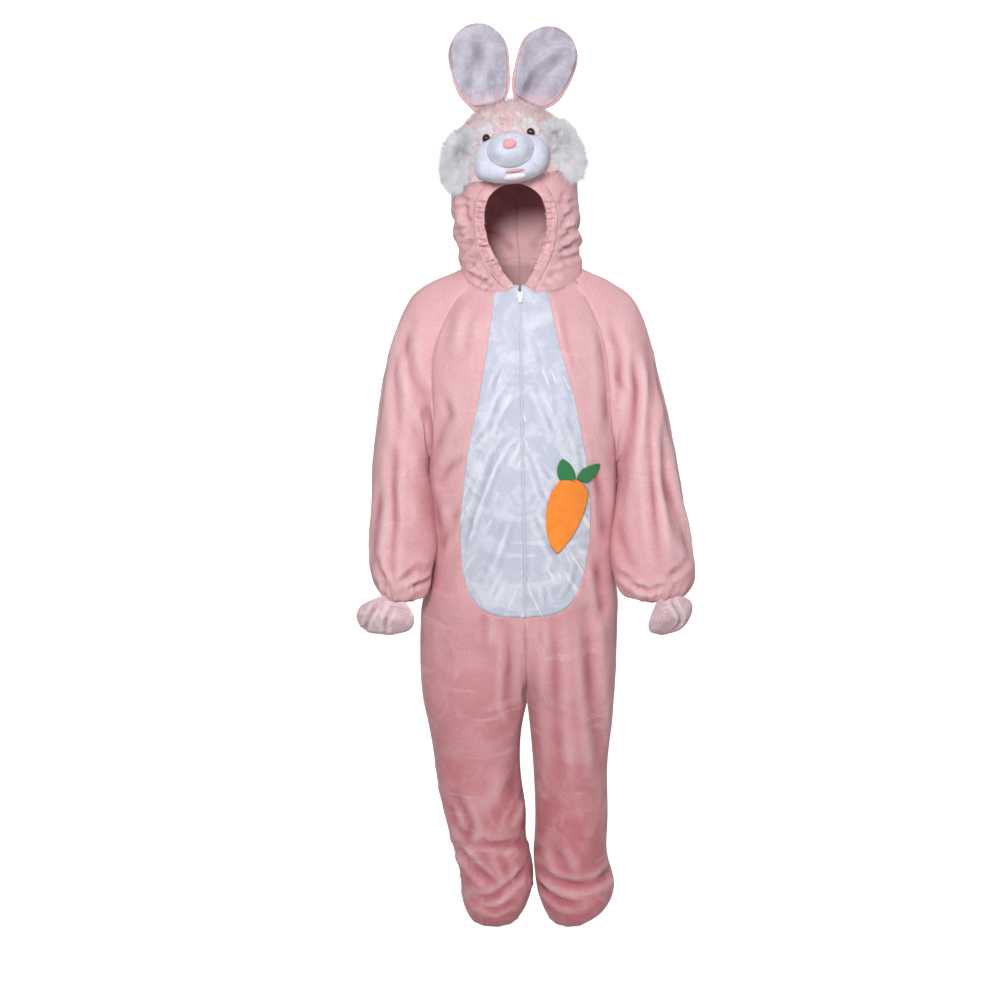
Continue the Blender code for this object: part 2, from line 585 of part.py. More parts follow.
def back_place(side, row, column):
    share = column / BACK_COLUMNS
    if row == 0:
        return neck_seam(side, with_corners(side, 180.0, raglan_neck_angle(side, 1), BACK_COLUMNS)[column])
    if row <= RAGLAN_ROWS:
        if column == BACK_COLUMNS:
            return raglan_edge(side, 1, row / RAGLAN_ROWS)
        down = raglan_down(1, row / RAGLAN_ROWS)
        edge = BACK_RAGLAN.at(down)
        neck_down = NECK.at(180.0).down
        middle_down = lerp(neck_down, UNDERARM, (down - neck_down) / (UNDERARM - neck_down))
        outer = across_of(side, down, edge.left if side > 0 else edge.right)
        return body_point(side, 1, outer * share, lerp(middle_down, down, share))
    levels = SIDE_LEVELS + LEG_LEVELS
    return body_point(side, 1, share, levels[row - RAGLAN_ROWS - 1])


def belly_place(side, row, column):
    beside, _, _ = front_rows()
    share = column / BELLY_COLUMNS
    zip_share = ZIP_WIDTH / 2
    if row == 0:
        first = across_of(side, ZIP_NECK, BODY.at(ZIP_NECK).middle * side + zip_share) * 90
        under_casing = (CASING_NECK_START + CASING_NECK_END) / 2
        halfway = (CASING_NECK_END + BELLY_NECK_END) / 2
        angles = (first, CASING_NECK_START, under_casing, CASING_NECK_END, halfway, BELLY_NECK_END)
        return neck_seam(side, angles[column])
    edge_across, edge_down = belly_edge_place(side, row / beside)
    if row == beside:
        across, down = belly_foot_place(side, share)
    else:
        middle_down = lerp(ZIP_NECK, BELLY_FOOT.at(0.0).down, row / beside)
        across, down = edge_across * share, lerp(middle_down, edge_down, share)
    zip_edge = across_of(side, down, BODY.at(down).middle * side + zip_share)
    return body_point(side, -1, max(across, zip_edge), down)


def make_suit():
    beside, foot, leg = front_rows()
    for side in (-1, 1):
        name = side_name(side)
        wall("front_" + name, beside + foot + leg, FRONT_COLUMNS,
             lambda row, column: front_place(side, row, column), WALL, PINK,
             trims=("top", "first", "last"))
        wall("back_" + name, RAGLAN_ROWS + len(SIDE_LEVELS) + leg, BACK_COLUMNS,
             lambda row, column: back_place(side, row, column), WALL, PINK,
             trims=("top", "first", "last"))
        wall("belly_" + name, beside, BELLY_COLUMNS,
             lambda row, column: belly_place(side, row, column), THIN_WALL, WHITE,
             trims=("top", "last", "bottom"))


# Sleeves

def sleeve_angle(column):
    """The ring angle of a column, 0 at the outer side and growing forwards. The first columns
    after and before 0 meet the neck, the others the raglan seams."""
    half_neck = NECK_COLUMNS / 2
    column = column % SLEEVE_COLUMN_COUNT
    if column > SLEEVE_COLUMN_COUNT / 2:
        return -sleeve_angle(SLEEVE_COLUMN_COUNT - column)
    if column <= half_neck:
        return SHOULDER_ANGLE * column / half_neck
    return lerp(SHOULDER_ANGLE, 180.0, (column - half_neck) / RAGLAN_ROWS)


def sleeve_seam(side, column, edge=raglan_edge):
    """The sleeve's first ring, on the neck seam and on the raglan seams below it."""
    half_neck = NECK_COLUMNS / 2
    column = column % SLEEVE_COLUMN_COUNT
    front, back = raglan_neck_angle(side, -1), raglan_neck_angle(side, 1)
    if column <= half_neck:
        return neck_seam(side, lerp((front + back) / 2, front, column / half_neck))
    if column >= SLEEVE_COLUMN_COUNT - half_neck:
        return neck_seam(side, lerp((front + back) / 2, back, (SLEEVE_COLUMN_COUNT - column) / half_neck))
    if column <= half_neck + RAGLAN_ROWS:
        return edge(side, -1, (column - half_neck) / RAGLAN_ROWS)
    return edge(side, 1, (SLEEVE_COLUMN_COUNT - half_neck - column) / RAGLAN_ROWS)


def sleeve_ring(side, ring, column):
    table = SLEEVE_LEFT if side > 0 else SLEEVE_RIGHT
    row = table.at(ring)
    outer = Vector((side * row.outer, -row.forward, row.outer_height))
    inner = Vector((side * row.inner, -row.forward, row.inner_height))
    angle = math.radians(sleeve_angle(column))
    wave = gather(12.2, 14.0, ring, column, 1) * GATHER_CUFF
    half = (outer - inner) / 2
    point = (outer + inner) / 2 + half * math.cos(angle) * (1 + wave / half.length)
    point.y -= (row.depth + wave) * math.sin(angle)
    return point


def plain_sleeve_point(side, ring, column):
    """The sleeve's outer side. ring 0 is the seam, and the first stretch eases out of it."""
    if ring >= 1:
        return sleeve_ring(side, ring, column)
    start, _ = sleeve_seam(side, column, raglan_point)
    end = sleeve_ring(side, 1, column)
    lead = (sleeve_ring(side, 1.5, column) - end) * 2 * 0.8
    t = max(ring, 0.0)
    return ((2 * t ** 3 - 3 * t ** 2 + 1) * start + (t ** 3 - 2 * t ** 2 + t) * (end - start)
            + (3 * t ** 2 - 2 * t ** 3) * end + (t ** 3 - t ** 2) * lead)


def sleeve_normal(side, ring, column):
    step = min(ring, 0.08)
    along = plain_sleeve_point(side, ring + step, column) - plain_sleeve_point(side, ring - step, column)
    over = plain_sleeve_point(side, ring, column + 0.25) - plain_sleeve_point(side, ring, column - 0.25)
    return along.cross(over).normalized() * -side


def sleeve_point(side, ring, column):
    if ring <= 0:
        return sleeve_seam(side, column)
    plain = plain_sleeve_point(side, ring, column)
    normal = sleeve_normal(side, ring, column)
    depth = fold_depth(plain.x, plain.z, SLEEVE_FOLDS[side])
    facing = min(max(abs(math.sin(math.radians(sleeve_angle(column)))) * 1.6 - 0.3, 0.0), 1.0)
    return plain - normal * depth * facing * min(ring, 1.0), normal


SLEEVE_RINGS = [0, 0.4, 0.8, 1.3, 1.9, 2.6, 3.4, 4.3, 5.2, 6.1, 7.0, 8.0, 9.0, 9.8, 10.6, 11.4, 12.2,
                13.0, 13.6, 14.2, LAST_RING]


def make_sleeves():
    for side in (-1, 1):
        wall("sleeve_" + side_name(side), SLEEVE_ROWS, SLEEVE_COLUMN_COUNT,
             lambda row, column: sleeve_point(side, SLEEVE_RINGS[row], column % SLEEVE_COLUMN_COUNT),
             WALL, PINK, around=True, trims=("top",))


# Hood

def hood_oval(round_angle, share, side):
    row = HOOD.at(share)
    turn = math.radians(round_angle)
    depth = row.front if round_angle <= 90 else row.back
    return Vector((row.middle + side * row.half * math.sin(turn), -depth * math.cos(turn), 0))


def dome_radius(direction):
    """From the dome's centre to the hood's outer side, along a unit direction."""
    row = HOOD.at(1.0)
    depth = row.front if direction.y < 0 else row.back
    rise = max(direction.z, 0.0)
    return 1 / math.sqrt((direction.x / row.half) ** 2 + (direction.y / depth) ** 2
                         + (rise / DOME_HEIGHT) ** 2)


def plain_hood_point(side, round_angle, level):
    """level: 0 at the neck seam, 1 where the dome starts, 2 at its top."""
    if level > 1:
        rise = math.radians(90 * (level - 1))
        turn = math.radians(round_angle)
        row = HOOD.at(1.0)
        depth = row.front if round_angle <= 90 else row.back
        return DOME_CENTRE + Vector((side * row.half * math.sin(turn) * math.cos(rise),
                                     -depth * math.cos(turn) * math.cos(rise),
                                     DOME_HEIGHT * math.sin(rise)))
    seam, _ = neck_seam(side, round_angle)
    point = hood_oval(round_angle, level, side)
    start = hood_oval(round_angle, 0.0, side)
    ease = (1 - level) ** 2
    point.x += (seam.x - start.x) * ease
    point.y += (seam.y - start.y) * ease
    point.z = lerp(seam.z, DOME_LEVEL, level)
    return point


def hood_point(side, round_angle, level):
    if level <= 0:
        return neck_seam(side, round_angle)
    plain = plain_hood_point(side, round_angle, level)
    held = min(max(round_angle, 1.0), 179.0)
    normal = normal_from(lambda a, b: plain_hood_point(side, a, b), held, level, 0.9,
                         min(level, 0.02), plain - Vector((DOME_CENTRE.x, 0.0, min(plain.z, DOME_LEVEL))))
    if round_angle < 1 or round_angle > 179:
        normal.x = 0.0
        normal.normalize()
    return plain, normal


def opening_curve(share):
    """Distance from the middle and height of the face opening, share 0 at the neck, 1 at its top."""
    low, high = FACE_OPENING.keys[0], FACE_OPENING.keys[-1]
    height = lerp(low, high, (1 - math.cos(math.pi * min(share, 1.0))) / 2)
    return FACE_OPENING.at(height).half, height


def opening_place(side, share, width):
    """Angle round and level on the hood of the face opening's edge, or of a line beside it."""
    if share <= 0:
        return (CASING_NECK_START if width <= 0 else CASING_NECK_END), 0.0
    half, height = opening_curve(share)
    if share >= 1:
        return on_hood(side, 0.0, height + width)
    near_half, near_height = opening_curve(share - 0.03)
    far_half, far_height = opening_curve(min(share + 0.03, 1.0))
    outward = Vector((far_height - near_height, near_half - far_half)).normalized() * width
    return on_hood(side, half + outward.x, height + outward.y)


def on_hood(side, half, height):
    """Angle round and level on the hood at a distance from its middle and a height."""
    if height > DOME_LEVEL:
        rise = math.asin(min((height - DOME_LEVEL) / DOME_HEIGHT, 1.0))
        reach = HOOD.at(1.0).half * math.cos(rise)
        return math.degrees(math.asin(min(half / reach, 1.0))), 1 + rise / (math.pi / 2)
    angle, level = 25.0, 0.5
    for _ in range(24):
        point = plain_hood_point(side, angle, level)
        found = side * (point.x - HOOD.at(level).middle)
        angle = min(max(angle * half / max(found, 0.0005), 0.0), 85.0) if half > 0 else 0.0
        level = min(max(level + (height - point.z) / (DOME_LEVEL + 0.06), 0.0), 1.0)
    return angle, level


def stitch_corner(side, row):
    """The line where the casing is stitched to the hood, at the hood's rows."""
    return hood_point(side, *opening_place(side, row / HOOD_SIDE_ROWS, CASING_WIDTH))


def stitch_line(side, share):
    """The same line at any share, straight between the hood's rows."""
    position = min(max(share, 0.0), 1.0) * HOOD_SIDE_ROWS
    low = min(int(position), HOOD_SIDE_ROWS - 1)
    (start, start_normal), (end, end_normal) = stitch_corner(side, low), stitch_corner(side, low + 1)
    return lerp(start, end, position - low), lerp(start_normal, end_normal, position - low)


BACK_LEVELS = [0.0, 0.12, 0.25, 0.38, 0.51, 0.64, 0.77, 0.89, 1.00, 1.11, 1.25]
TOP_LEVELS = [1.41, 1.58, 1.76, 1.95]


def hood_place(side, row, column):
    share = column / HOOD_COLUMNS
    if row <= HOOD_SIDE_ROWS:
        if column == 0:
            return stitch_corner(side, row)
        start_round, start_level = opening_place(side, row / HOOD_SIDE_ROWS, CASING_WIDTH)
        end_level = BACK_LEVELS[row]
    else:
        start_round, start_level = 0.0, TOP_LEVELS[row - HOOD_SIDE_ROWS - 1]
        end_level = start_level
    level = lerp(start_level, end_level, min(share * 2.5, 1.0))
    return hood_point(side, lerp(start_round, 180.0, share), level)


def casing_place(row, column):
    """Rows run from the free edge to the stitch line; columns from the right neck over the top."""
    half = CASING_SPANS / 2
    side = -1 if column < half else 1
    share = 1 - abs(column - half) / half
    stitched, stitched_normal = stitch_line(side, share)
    if row == 2:
        return stitched, stitched_normal
    free, free_normal = hood_point(side, *opening_place(side, share, 0.0))
    covered = min(max((0.86 - share) / 0.08, 0.0), 1.0)
    grown = covered * min(share / 0.08, 1.0) * (1.0 if row == 0 else 0.6)
    wave = grown * (GATHER_CASING if column % 2 else -GATHER_CASING)
    spread = row / 2
    bulge = grown * 0.004 * math.sin(math.pi * spread)
    normal = lerp(free_normal, stitched_normal, spread)
    return lerp(free, stitched, spread) + normal * (wave + bulge), normal


def make_hood():
    for side in (-1, 1):
        wall("hood_" + side_name(side), HOOD_SIDE_ROWS + HOOD_TOP_ROWS, HOOD_COLUMNS,
             lambda row, column: hood_place(side, row, column), WALL, PINK,
             trims=("top", "first", "last"))
    wall("face_casing", 2, CASING_SPANS, casing_place, THIN_WALL, CASING_PINK,
         trims=("bottom", "first", "last"))


# Rabbit head

def head_to_world():
    return Matrix.Translation(DOME_CENTRE) @ Matrix.Rotation(-HEAD_TURN, 4, "Y")


def aim(round_angle, rise):
    """A unit direction in the head's frame: angle round from the front, and angle up."""
    turn, up = math.radians(round_angle), math.radians(rise)
    return Vector((math.sin(turn) * math.cos(up), -math.cos(turn) * math.cos(up), math.sin(up)))


def crown_radius(direction):
    depth = CROWN_FRONT if direction.y < 0 else CROWN_BACK
    return 1 / math.sqrt((direction.x / CROWN_HALF) ** 2 + (direction.y / depth) ** 2
                         + (direction.z / CROWN_HEIGHT) ** 2)


def on_crown(direction, lift=0.0):
    return direction * (crown_radius(direction) + lift)


def crown_direction(p, q):
    """Directions over the crown: q = -1 is its lower front edge, q = 1 its edge at the back."""
    reach = math.hypot(p, q)
    if reach < 1e-9:
        return aim(0, 47)
    along, over = p / reach, q / reach
    limit = 76 - 33 * max(-over, 0.0) ** 1.5 + 8 * max(over, 0.0) + 12 * abs(along) ** 2
    spread = math.radians(limit * reach)
    centre = aim(0, 47)
    right = Vector((1, 0, 0))
    up = right.cross(centre)
    if up.z < 0:
        up.negate()
    direction = centre * math.cos(spread) + (right * along + up * over) * math.sin(spread)
    if direction.z < 0.05:
        direction.z = 0.05
        direction.normalize()
    return direction


def hood_under(direction):
    """The crown's inner side: just clear of the hood, and of the casing low in front."""
    world = Matrix.Rotation(-HEAD_TURN, 3, "Y") @ direction
    low = min(max((0.30 - direction.z) / 0.15, 0.0), 1.0)
    ahead = min(max(-direction.y - 0.55, 0.0) / 0.2, 1.0)
    return dome_radius(world) + CROWN_GAP + low * (0.0012 + 0.006 * ahead)


def tangent_frame(direction):
    right = Vector((0, 0, 1)).cross(direction)
    right = -right if right.dot(Vector((1, 0, 0))) * -direction.y < 0 else right
    right.normalize()
    up = right.cross(direction)
    if up.z < 0:
        up.negate()
    return right, up.normalized()


def patch(centre_round, centre_rise, half_wide, half_tall, tilt=0.0, square=1.0):
    """Directions over an oval patch of the crown, sized in metres on its surface."""
    centre = aim(centre_round, centre_rise)
    right, up = tangent_frame(centre)
    radius = crown_radius(centre)
    turn = math.radians(tilt)

    def direction(p, q):
        reach = math.hypot(p, q)
        fuller = 1.0
        if reach > 1e-9 and square != 1.0:
            fuller = 1 / ((abs(p / reach)) ** (2 / square) + (abs(q / reach)) ** (2 / square)) ** (square / 2)
        x, y = p * half_wide * fuller, q * half_tall * fuller
        x, y = x * math.cos(turn) - y * math.sin(turn), x * math.sin(turn) + y * math.cos(turn)
        return (centre * radius + right * x + up * y).normalized()
    return direction


def rounded(p, q, power=2.0):
    """1 in the middle of a patch, falling roundly to 0 at its edge."""
    reach = min(math.hypot(p, q), 1.0)
    return (1 - reach ** power) ** (1 / power)


# Each patch: round and rise of its middle in degrees, half width and half height in metres
JAW_PLACE = (0, 14.0, 0.0760, 0.0385)
MUZZLE_PLACE = (0, 20.3, 0.0350, 0.0300)
JAW = patch(*JAW_PLACE)
MUZZLE = patch(*MUZZLE_PLACE)
JAW_BULGE = 0.030
MUZZLE_BULGE = 0.060
EDGE = 0.002
MUZZLE_COUNT = 9
MUZZLE_FACE = 2.2 / MUZZLE_COUNT


def jaw_lift(p, q):
    return LAID_GAP + EDGE + JAW_BULGE * rounded(p, q, 2.4)


def place_in_patch(direction, centre_round, centre_rise, half_wide, half_tall):
    """The disc place of a direction in an oval patch."""
    centre = aim(centre_round, centre_rise)
    right, up = tangent_frame(centre)
    scale = crown_radius(centre) / direction.dot(centre)
    return direction.dot(right) * scale / half_wide, direction.dot(up) * scale / half_tall


def over_jaw(direction):
    """How far the jaw's surface stands above the crown in a direction."""
    p, q = place_in_patch(direction, *JAW_PLACE)
    return jaw_lift(p, q) if math.hypot(p, q) < 1 else 0.0


def over_muzzle(direction):
    p, q = place_in_patch(direction, *MUZZLE_PLACE)
    return EDGE + MUZZLE_BULGE * rounded(p, q, 2.3) * (1 - 0.20 * q) if math.hypot(p, q) < 1 else 0.0


def under_muzzle(p, q):
    """The muzzle's underside: clear of the jaw, and of its edge within the next face."""
    around = [(math.cos(turn) * MUZZLE_FACE, math.sin(turn) * MUZZLE_FACE)
              for turn in (math.radians(45 * step) for step in range(8))]
    highest = max(over_jaw(MUZZLE(p + a, q + b)) for a, b in around + [(0, 0)])
    return max(highest, LAID_GAP) + PAD_GAP * 0.5


def laid_pad(name, count, directions, bulge, base, finish, parent, power=2.0):
    """A pad on the head: its base stands off what lies under it, and it bulges from there."""
    def under(p, q):
        direction = directions(p, q)
        return direction, base(direction)

    def top(p, q):
        direction, lift = under(p, q)
        return on_crown(direction, lift + EDGE + bulge * rounded(p, q, power))

    def bottom(p, q):
        direction, lift = under(p, q)
        return on_crown(direction, lift)
    return pad(name, count, top, bottom, finish, parent)


def crown_top(p, q):
    """The crown's outer side, which thins to a sewn edge all round."""
    direction = crown_direction(p, q)
    reach = crown_radius(direction) - 0.004 * min(math.hypot(p, q), 1.0) ** 6
    return direction * max(reach, hood_under(direction) + CROWN_EDGE)


def make_head(parent):
    pad("crown", 11, crown_top,
        lambda p, q: crown_direction(p, q) * hood_under(crown_direction(p, q)),
        MOTTLED, parent)
    laid_pad("jaw", 8, JAW, JAW_BULGE, lambda direction: LAID_GAP, WHITE, parent, 2.4)
    pad("muzzle", MUZZLE_COUNT,
        lambda p, q: on_crown(MUZZLE(p, q), max(over_muzzle(MUZZLE(p, q)), under_muzzle(p, q) + EDGE)),
        lambda p, q: on_crown(MUZZLE(p, q), under_muzzle(p, q)), WHITE, parent)
    laid_pad("nose", 4, patch(0, 18.5, 0.0080, 0.0062, square=0.7), 0.005,
             lambda direction: over_muzzle(direction) + 0.0007, NOSE_PINK, parent)
    laid_pad("mouth", 3, patch(1.0, 5.6, 0.0140, 0.0022), 0.001,
             lambda direction: over_jaw(direction) + 0.0008, NOSE_PINK, parent)
    laid_pad("chin", 4, patch(0.5, 2.0, 0.0165, 0.0048, square=0.8), 0.005,
             lambda direction: over_jaw(direction) + 0.0012, WHITE, parent)
    for side in (-1, 1):
        name = side_name(side)
        laid_pad("cheek_" + name, 7, patch(side * 55.5, 21 - 1.6 * side, 0.040, 0.052, tilt=side * 8), 0.026,
                 lambda direction: PAD_GAP * 0.6, LONG_FUR, parent, 2.0)
        laid_pad("eye_patch_" + name, 4, patch(side * 22, 39.5, 0.0145, 0.0180, tilt=side * 8), 0.0022,
                 lambda direction: PAD_GAP * 0.5, WHITE, parent)
        laid_pad("eye_" + name, 4, patch(side * 20.0, 34.0, 0.0076, 0.0076), 0.0055,
                 lambda direction: PAD_GAP * 0.5 + 0.0022 + EDGE + 0.0006, EYE_DARK, parent)


# Ears. Each row: share of the length, half width, and how far the edges curl forwards.
EAR = Stations(("share", "half", "curl"), [
    (0.00, 0.0270, 0.016), (0.055, 0.0350, 0.020), (0.13, 0.0425, 0.022), (0.24, 0.0475, 0.020),
    (0.40, 0.0520, 0.015), (0.66, 0.0540, 0.009), (0.82, 0.0465, 0.006), (0.93, 0.0300, 0.003),
    (1.00, 0.0090, 0.001),
])
EAR_ROWS = [0.0, 0.055, 0.13, 0.24, 0.40, 0.56, 0.70, 0.83, 0.93, 1.0]
EAR_COLUMNS = 6
EAR_STUFFING = 0.009
EAR_INSET = 0.93             # of the white inner ear within the pink back
EAR_INNER_ROWS = [0.02, 0.055, 0.13, 0.24, 0.40, 0.56, 0.70, 0.83, 0.92, 0.965]
EAR_GAP = 0.0012
EAR_SEAT = 0.0014


def ear_place(ear, share, across):
    """A point of an ear's middle surface in the head's frame, and its direction forwards."""
    row = EAR.at(share)
    trough = ear.fold * math.exp(-((across - ear.fold_side * (1 - share)) / 0.28) ** 2)
    trough *= math.exp(-((share - 0.30) / 0.34) ** 2)
    bow = ear.bow * math.exp(-((share - 0.25) / 0.25) ** 2)
    local = Vector((across * row.half + bow, -row.curl * across * across + trough, share * ear.length))
    leaned = Matrix.Rotation(ear.lean, 3, "Y") @ Matrix.Rotation(-0.10, 3, "X") @ local
    return ear.root + leaned


def ear_point(ear, share, across, forwards, seat):
    """A point of an ear. The first row is set down on the crown, whose faces seat holds."""
    place = ear_place(ear, share, across)
    normal = normal_from(lambda a, b: ear_place(ear, a, b), min(max(share, 0.01), 0.99),
                         min(max(across, -0.97), 0.97), 0.01, 0.03, Vector((0, -1, 0)))
    point = place + normal * forwards
    if share == 0:
        outwards = point.normalized()
        hit, _, _, _ = seat.ray_cast(outwards, -outwards)
        point = hit + outwards * EAR_SEAT
    return point


def make_ears(parent):
    crown = bpy.data.objects["crown"].data
    seat = BVHTree.FromPolygons([vert.co for vert in crown.vertices],
                                [face.vertices[:] for face in crown.polygons])
    ears = {
        -1: SimpleNamespace(root=Vector((-0.0270, 0.004, 0.1405)), lean=math.radians(-5.2),
                            length=0.1485, fold=0.010, fold_side=0.15, bow=-0.0035),
        1: SimpleNamespace(root=Vector((0.0420, 0.004, 0.1355)), lean=math.radians(32.5),
                           length=0.1450, fold=0.011, fold_side=-0.25, bow=0.0045),
    }
    for side, ear in ears.items():
        rows, columns = len(EAR_ROWS) - 1, EAR_COLUMNS

        def across(column):
            return 2 * column / columns - 1

        def back_side(row, column):
            full = 1 - across(column) ** 2
            thick = 0.004 + EAR_STUFFING * full * math.sin(math.pi * min(EAR_ROWS[row] + 0.2, 1.0))
            return ear_point(ear, EAR_ROWS[row], across(column), -thick, seat)

        def inner_side(row, column, forwards):
            inset = min(max(across(column), -EAR_INSET), EAR_INSET)
            return ear_point(ear, EAR_INNER_ROWS[row], inset, forwards, seat)

        slab("ear_" + side_name(side) + "_back", rows, columns, back_side,
             lambda row, column: ear_point(ear, EAR_ROWS[row], across(column), 0.0, seat), PINK,
             parent=parent)
        slab("ear_" + side_name(side) + "_inner", rows, columns,
             lambda row, column: inner_side(row, column, EAR_GAP + THIN_WALL),
             lambda row, column: inner_side(row, column, EAR_GAP), WHITE, parent=parent)


# Paws. Each is a stuffed flap with three toes, its width along X before it is turned.
PAW_HALF_WIDTH = 0.058
PAW_HALF_HEIGHT = 0.040
PAW_THICKNESS = 0.013
PAW_CORNERS = 0.07           # how much fuller than an oval its corners are
TOE_LINE = 0.34              # of the half width, on each side of the middle toe


def paw_top(p, q, side):
    toes = max(-q, 0.0)
    scallop = 1 + 0.09 * toes * abs(math.cos(1.5 * math.pi * p))
    groove = 0.45 * toes * sum(math.exp(-((p - line) / 0.12) ** 2) for line in (-TOE_LINE, TOE_LINE))
    thick = 0.0015 + PAW_THICKNESS * rounded(p, q, 2.2) * (1 - groove)
    fuller = 1 + PAW_CORNERS * (2 * abs(p * q)) ** 2
    return Vector((p * PAW_HALF_WIDTH * (1 - 0.12 * max(q, 0)) * fuller, side * thick,
                   q * PAW_HALF_HEIGHT * scallop * fuller))


def make_paws():
    places = {
        -1: (Vector((-0.2600, -0.1149, -0.6720)), (math.radians(22), math.radians(-7), math.radians(-14))),
        1: (Vector((0.2787, -0.1190, -0.6690)), (math.radians(22), math.radians(9), math.radians(44))),
    }
    for side, (place, turn) in places.items():
        paw = pad("paw_" + side_name(side), 8, lambda p, q: paw_top(p, q, -1),
                  lambda p, q: paw_top(p, q, 1), PAW_PINK)
        paw.location = place
        paw.rotation_euler = turn


# Zip
ZIP_TOP = 0.079
ZIP_BOTTOM = 0.660
ZIP_ROWS = 20
SLIDER_DOWN = 0.070          # where the slider's middle lies on the zip
SLIDER_SIZE = (0.0090, 0.0016, 0.0120)
SLIDER_BACK_SIZE = (0.0080, 0.0012, 0.0100)
SLIDER_NECK_SIZE = (0.0030, 0.0064, 0.0036)
SLIDER_CLEARANCE = 0.0016    # behind the closure, and clear of the belly's inner side
LUG_WIDTH = 0.0012
LUG_HEIGHT = 0.0064
LUG_REACH = 0.0032
LUG_METAL = 0.0009
PULL_SIZE = (0.0062, 0.0012, 0.0160)
PULL_SLOT = (0.0026, 0.0052)


def zip_place(down):
    """The middle of the closure on the belly's outer side, and its outward normal."""
    middle = BODY.at(down).middle
    point, normal = body_point(1, -1, across_of(1, down, middle + 0.002), down)
    point.x = middle
    return point, Vector((0, normal.y, normal.z)).normalized()


def chain_point(row, column, sink):
    down = lerp(ZIP_TOP, ZIP_BOTTOM, row / ZIP_ROWS)
    side = -1 if column == 0 else 1
    middle = BODY.at(down).middle
    across = across_of(side, down, middle * side + ZIP_WIDTH / 2)
    point, normal = body_point(side, -1, across, down)
    point.x = middle + side * CHAIN_WIDTH / 2
    return point - normal * sink


def box_mesh(name, size, place, finish, parent, collection="bunny_costume"):
    bm = bmesh.new()
    bmesh.ops.create_cube(bm, size=1.0)
    bmesh.ops.scale(bm, vec=size, verts=bm.verts[:])
    bmesh.ops.translate(bm, vec=place, verts=bm.verts[:])
    mesh = bpy.data.meshes.new(name)
    bm.to_mesh(mesh)
    bm.free()
    mesh.materials.append(find_material(finish))
    piece = bpy.data.objects.new(name, mesh)
    bpy.data.collections[collection].objects.link(piece)
    piece.parent = parent
    return piece


def joined(piece, part, operation):
    """A Boolean of a hidden part with a piece."""
    part.hide_render = True
    part.display_type = "WIRE"
    cut = piece.modifiers.new(part.name, "BOOLEAN")
    cut.operation = operation
    cut.object = part


def make_zip():
    slab("zip_tape", ZIP_ROWS, 1, lambda row, column: chain_point(row, column, CHAIN_SINK),
         lambda row, column: chain_point(row, column, CHAIN_SINK + CHAIN_THICKNESS), ZIP_WHITE)
    point, normal = zip_place(SLIDER_DOWN)
    slope = math.atan2(normal.z, -normal.y)
    place = bpy.data.objects.new("zip_place", None)
    bpy.data.collections["bunny_costume"].objects.link(place)
    place.location = point
    place.rotation_euler = (-slope, 0, 0)
    width, thick, height = SLIDER_SIZE
    front_y = -0.0006 - thick / 2
    slider = box_mesh("zip_slider", SLIDER_SIZE, (0, front_y, 0), ZIP_WHITE, place)
    neck_z = height / 2 - SLIDER_NECK_SIZE[2] / 2
    neck = box_mesh("slider_neck", SLIDER_NECK_SIZE, (0, front_y + SLIDER_NECK_SIZE[1] / 2, neck_z),
                    ZIP_WHITE, place, "cutters")
    back_y = CHAIN_SINK + CHAIN_THICKNESS + SLIDER_CLEARANCE + SLIDER_BACK_SIZE[1] / 2
    back = box_mesh("slider_back", SLIDER_BACK_SIZE, (0, back_y, height / 2 - SLIDER_BACK_SIZE[2] / 2),
                    ZIP_WHITE, place, "cutters")
    lug_y = front_y - thick / 2 - LUG_REACH / 2
    lug = box_mesh("slider_lug", (LUG_WIDTH, LUG_REACH + 0.0004, LUG_HEIGHT), (0, lug_y + 0.0002, 0),
                   ZIP_WHITE, place, "cutters")
    hollow = box_mesh("lug_hollow", (LUG_WIDTH * 2, LUG_REACH - LUG_METAL, LUG_HEIGHT - 2 * LUG_METAL),
                      (0, front_y - thick / 2 - (LUG_REACH - LUG_METAL) / 2, 0), ZIP_WHITE, place, "cutters")
    joined(lug, hollow, "DIFFERENCE")
    for part in (neck, back, lug):
        joined(slider, part, "UNION")
    hinge = Vector((0, front_y - thick / 2 - (LUG_REACH - LUG_METAL) / 2, LUG_HEIGHT / 2 - LUG_METAL - 0.0010))
    bar = PULL_SIZE[1]
    pull = box_mesh("zip_pull", PULL_SIZE, (0, 0, bar / 2 - PULL_SIZE[2] / 2), ZIP_WHITE, place)
    pull.location = hinge
    slot = box_mesh("pull_slot", (PULL_SLOT[0], bar * 3, PULL_SLOT[1]),
                    (0, 0, -bar / 2 - PULL_SLOT[1] / 2), ZIP_WHITE, pull, "cutters")
    joined(pull, slot, "DIFFERENCE")
    for piece in (slider, pull):
        bevel = piece.modifiers.new("rounded", "BEVEL")
        bevel.width = 0.00025
        bevel.segments = 1
        bevel.limit_method = "ANGLE"


# Carrot
# Each outline: its tip, then two edges with the corner where each starts, how far it bows to its left
# on the way to the tip, and the powers that shape the bow near the corner and near the tip.
FELT = 0.0030
FLAT_BASE = math.sqrt(0.5)    # how far down a disc place has to be to lie on the flat base
CARROT = ((0.0616, -0.5423), [
    ((0.0984, -0.4076), 0.0293, 0.35, 0.80), ((0.0674, -0.4065), -0.0220, 0.70, 0.70)])
LEAVES = {
    -1: ((0.0704, -0.3681), [
        ((0.0674, -0.4057), 0.0062, 0.7, 0.7), ((0.0937, -0.4060), -0.0071, 0.8, 0.8)]),
    1: ((0.1403, -0.3829), [
        ((0.0976, -0.4042), 0.0084, 0.5, 0.7), ((0.1143, -0.4140), -0.0075, 0.9, 0.8)]),
}


def on_suit_front(x, z, lift):
    """A point standing off the suit's front at a place given by x and z."""
    side = 1 if x > BODY.at(-z).middle else -1
    point, normal = body_point(side, -1, across_of(side, -z, side * x), -z)
    return point + normal * lift


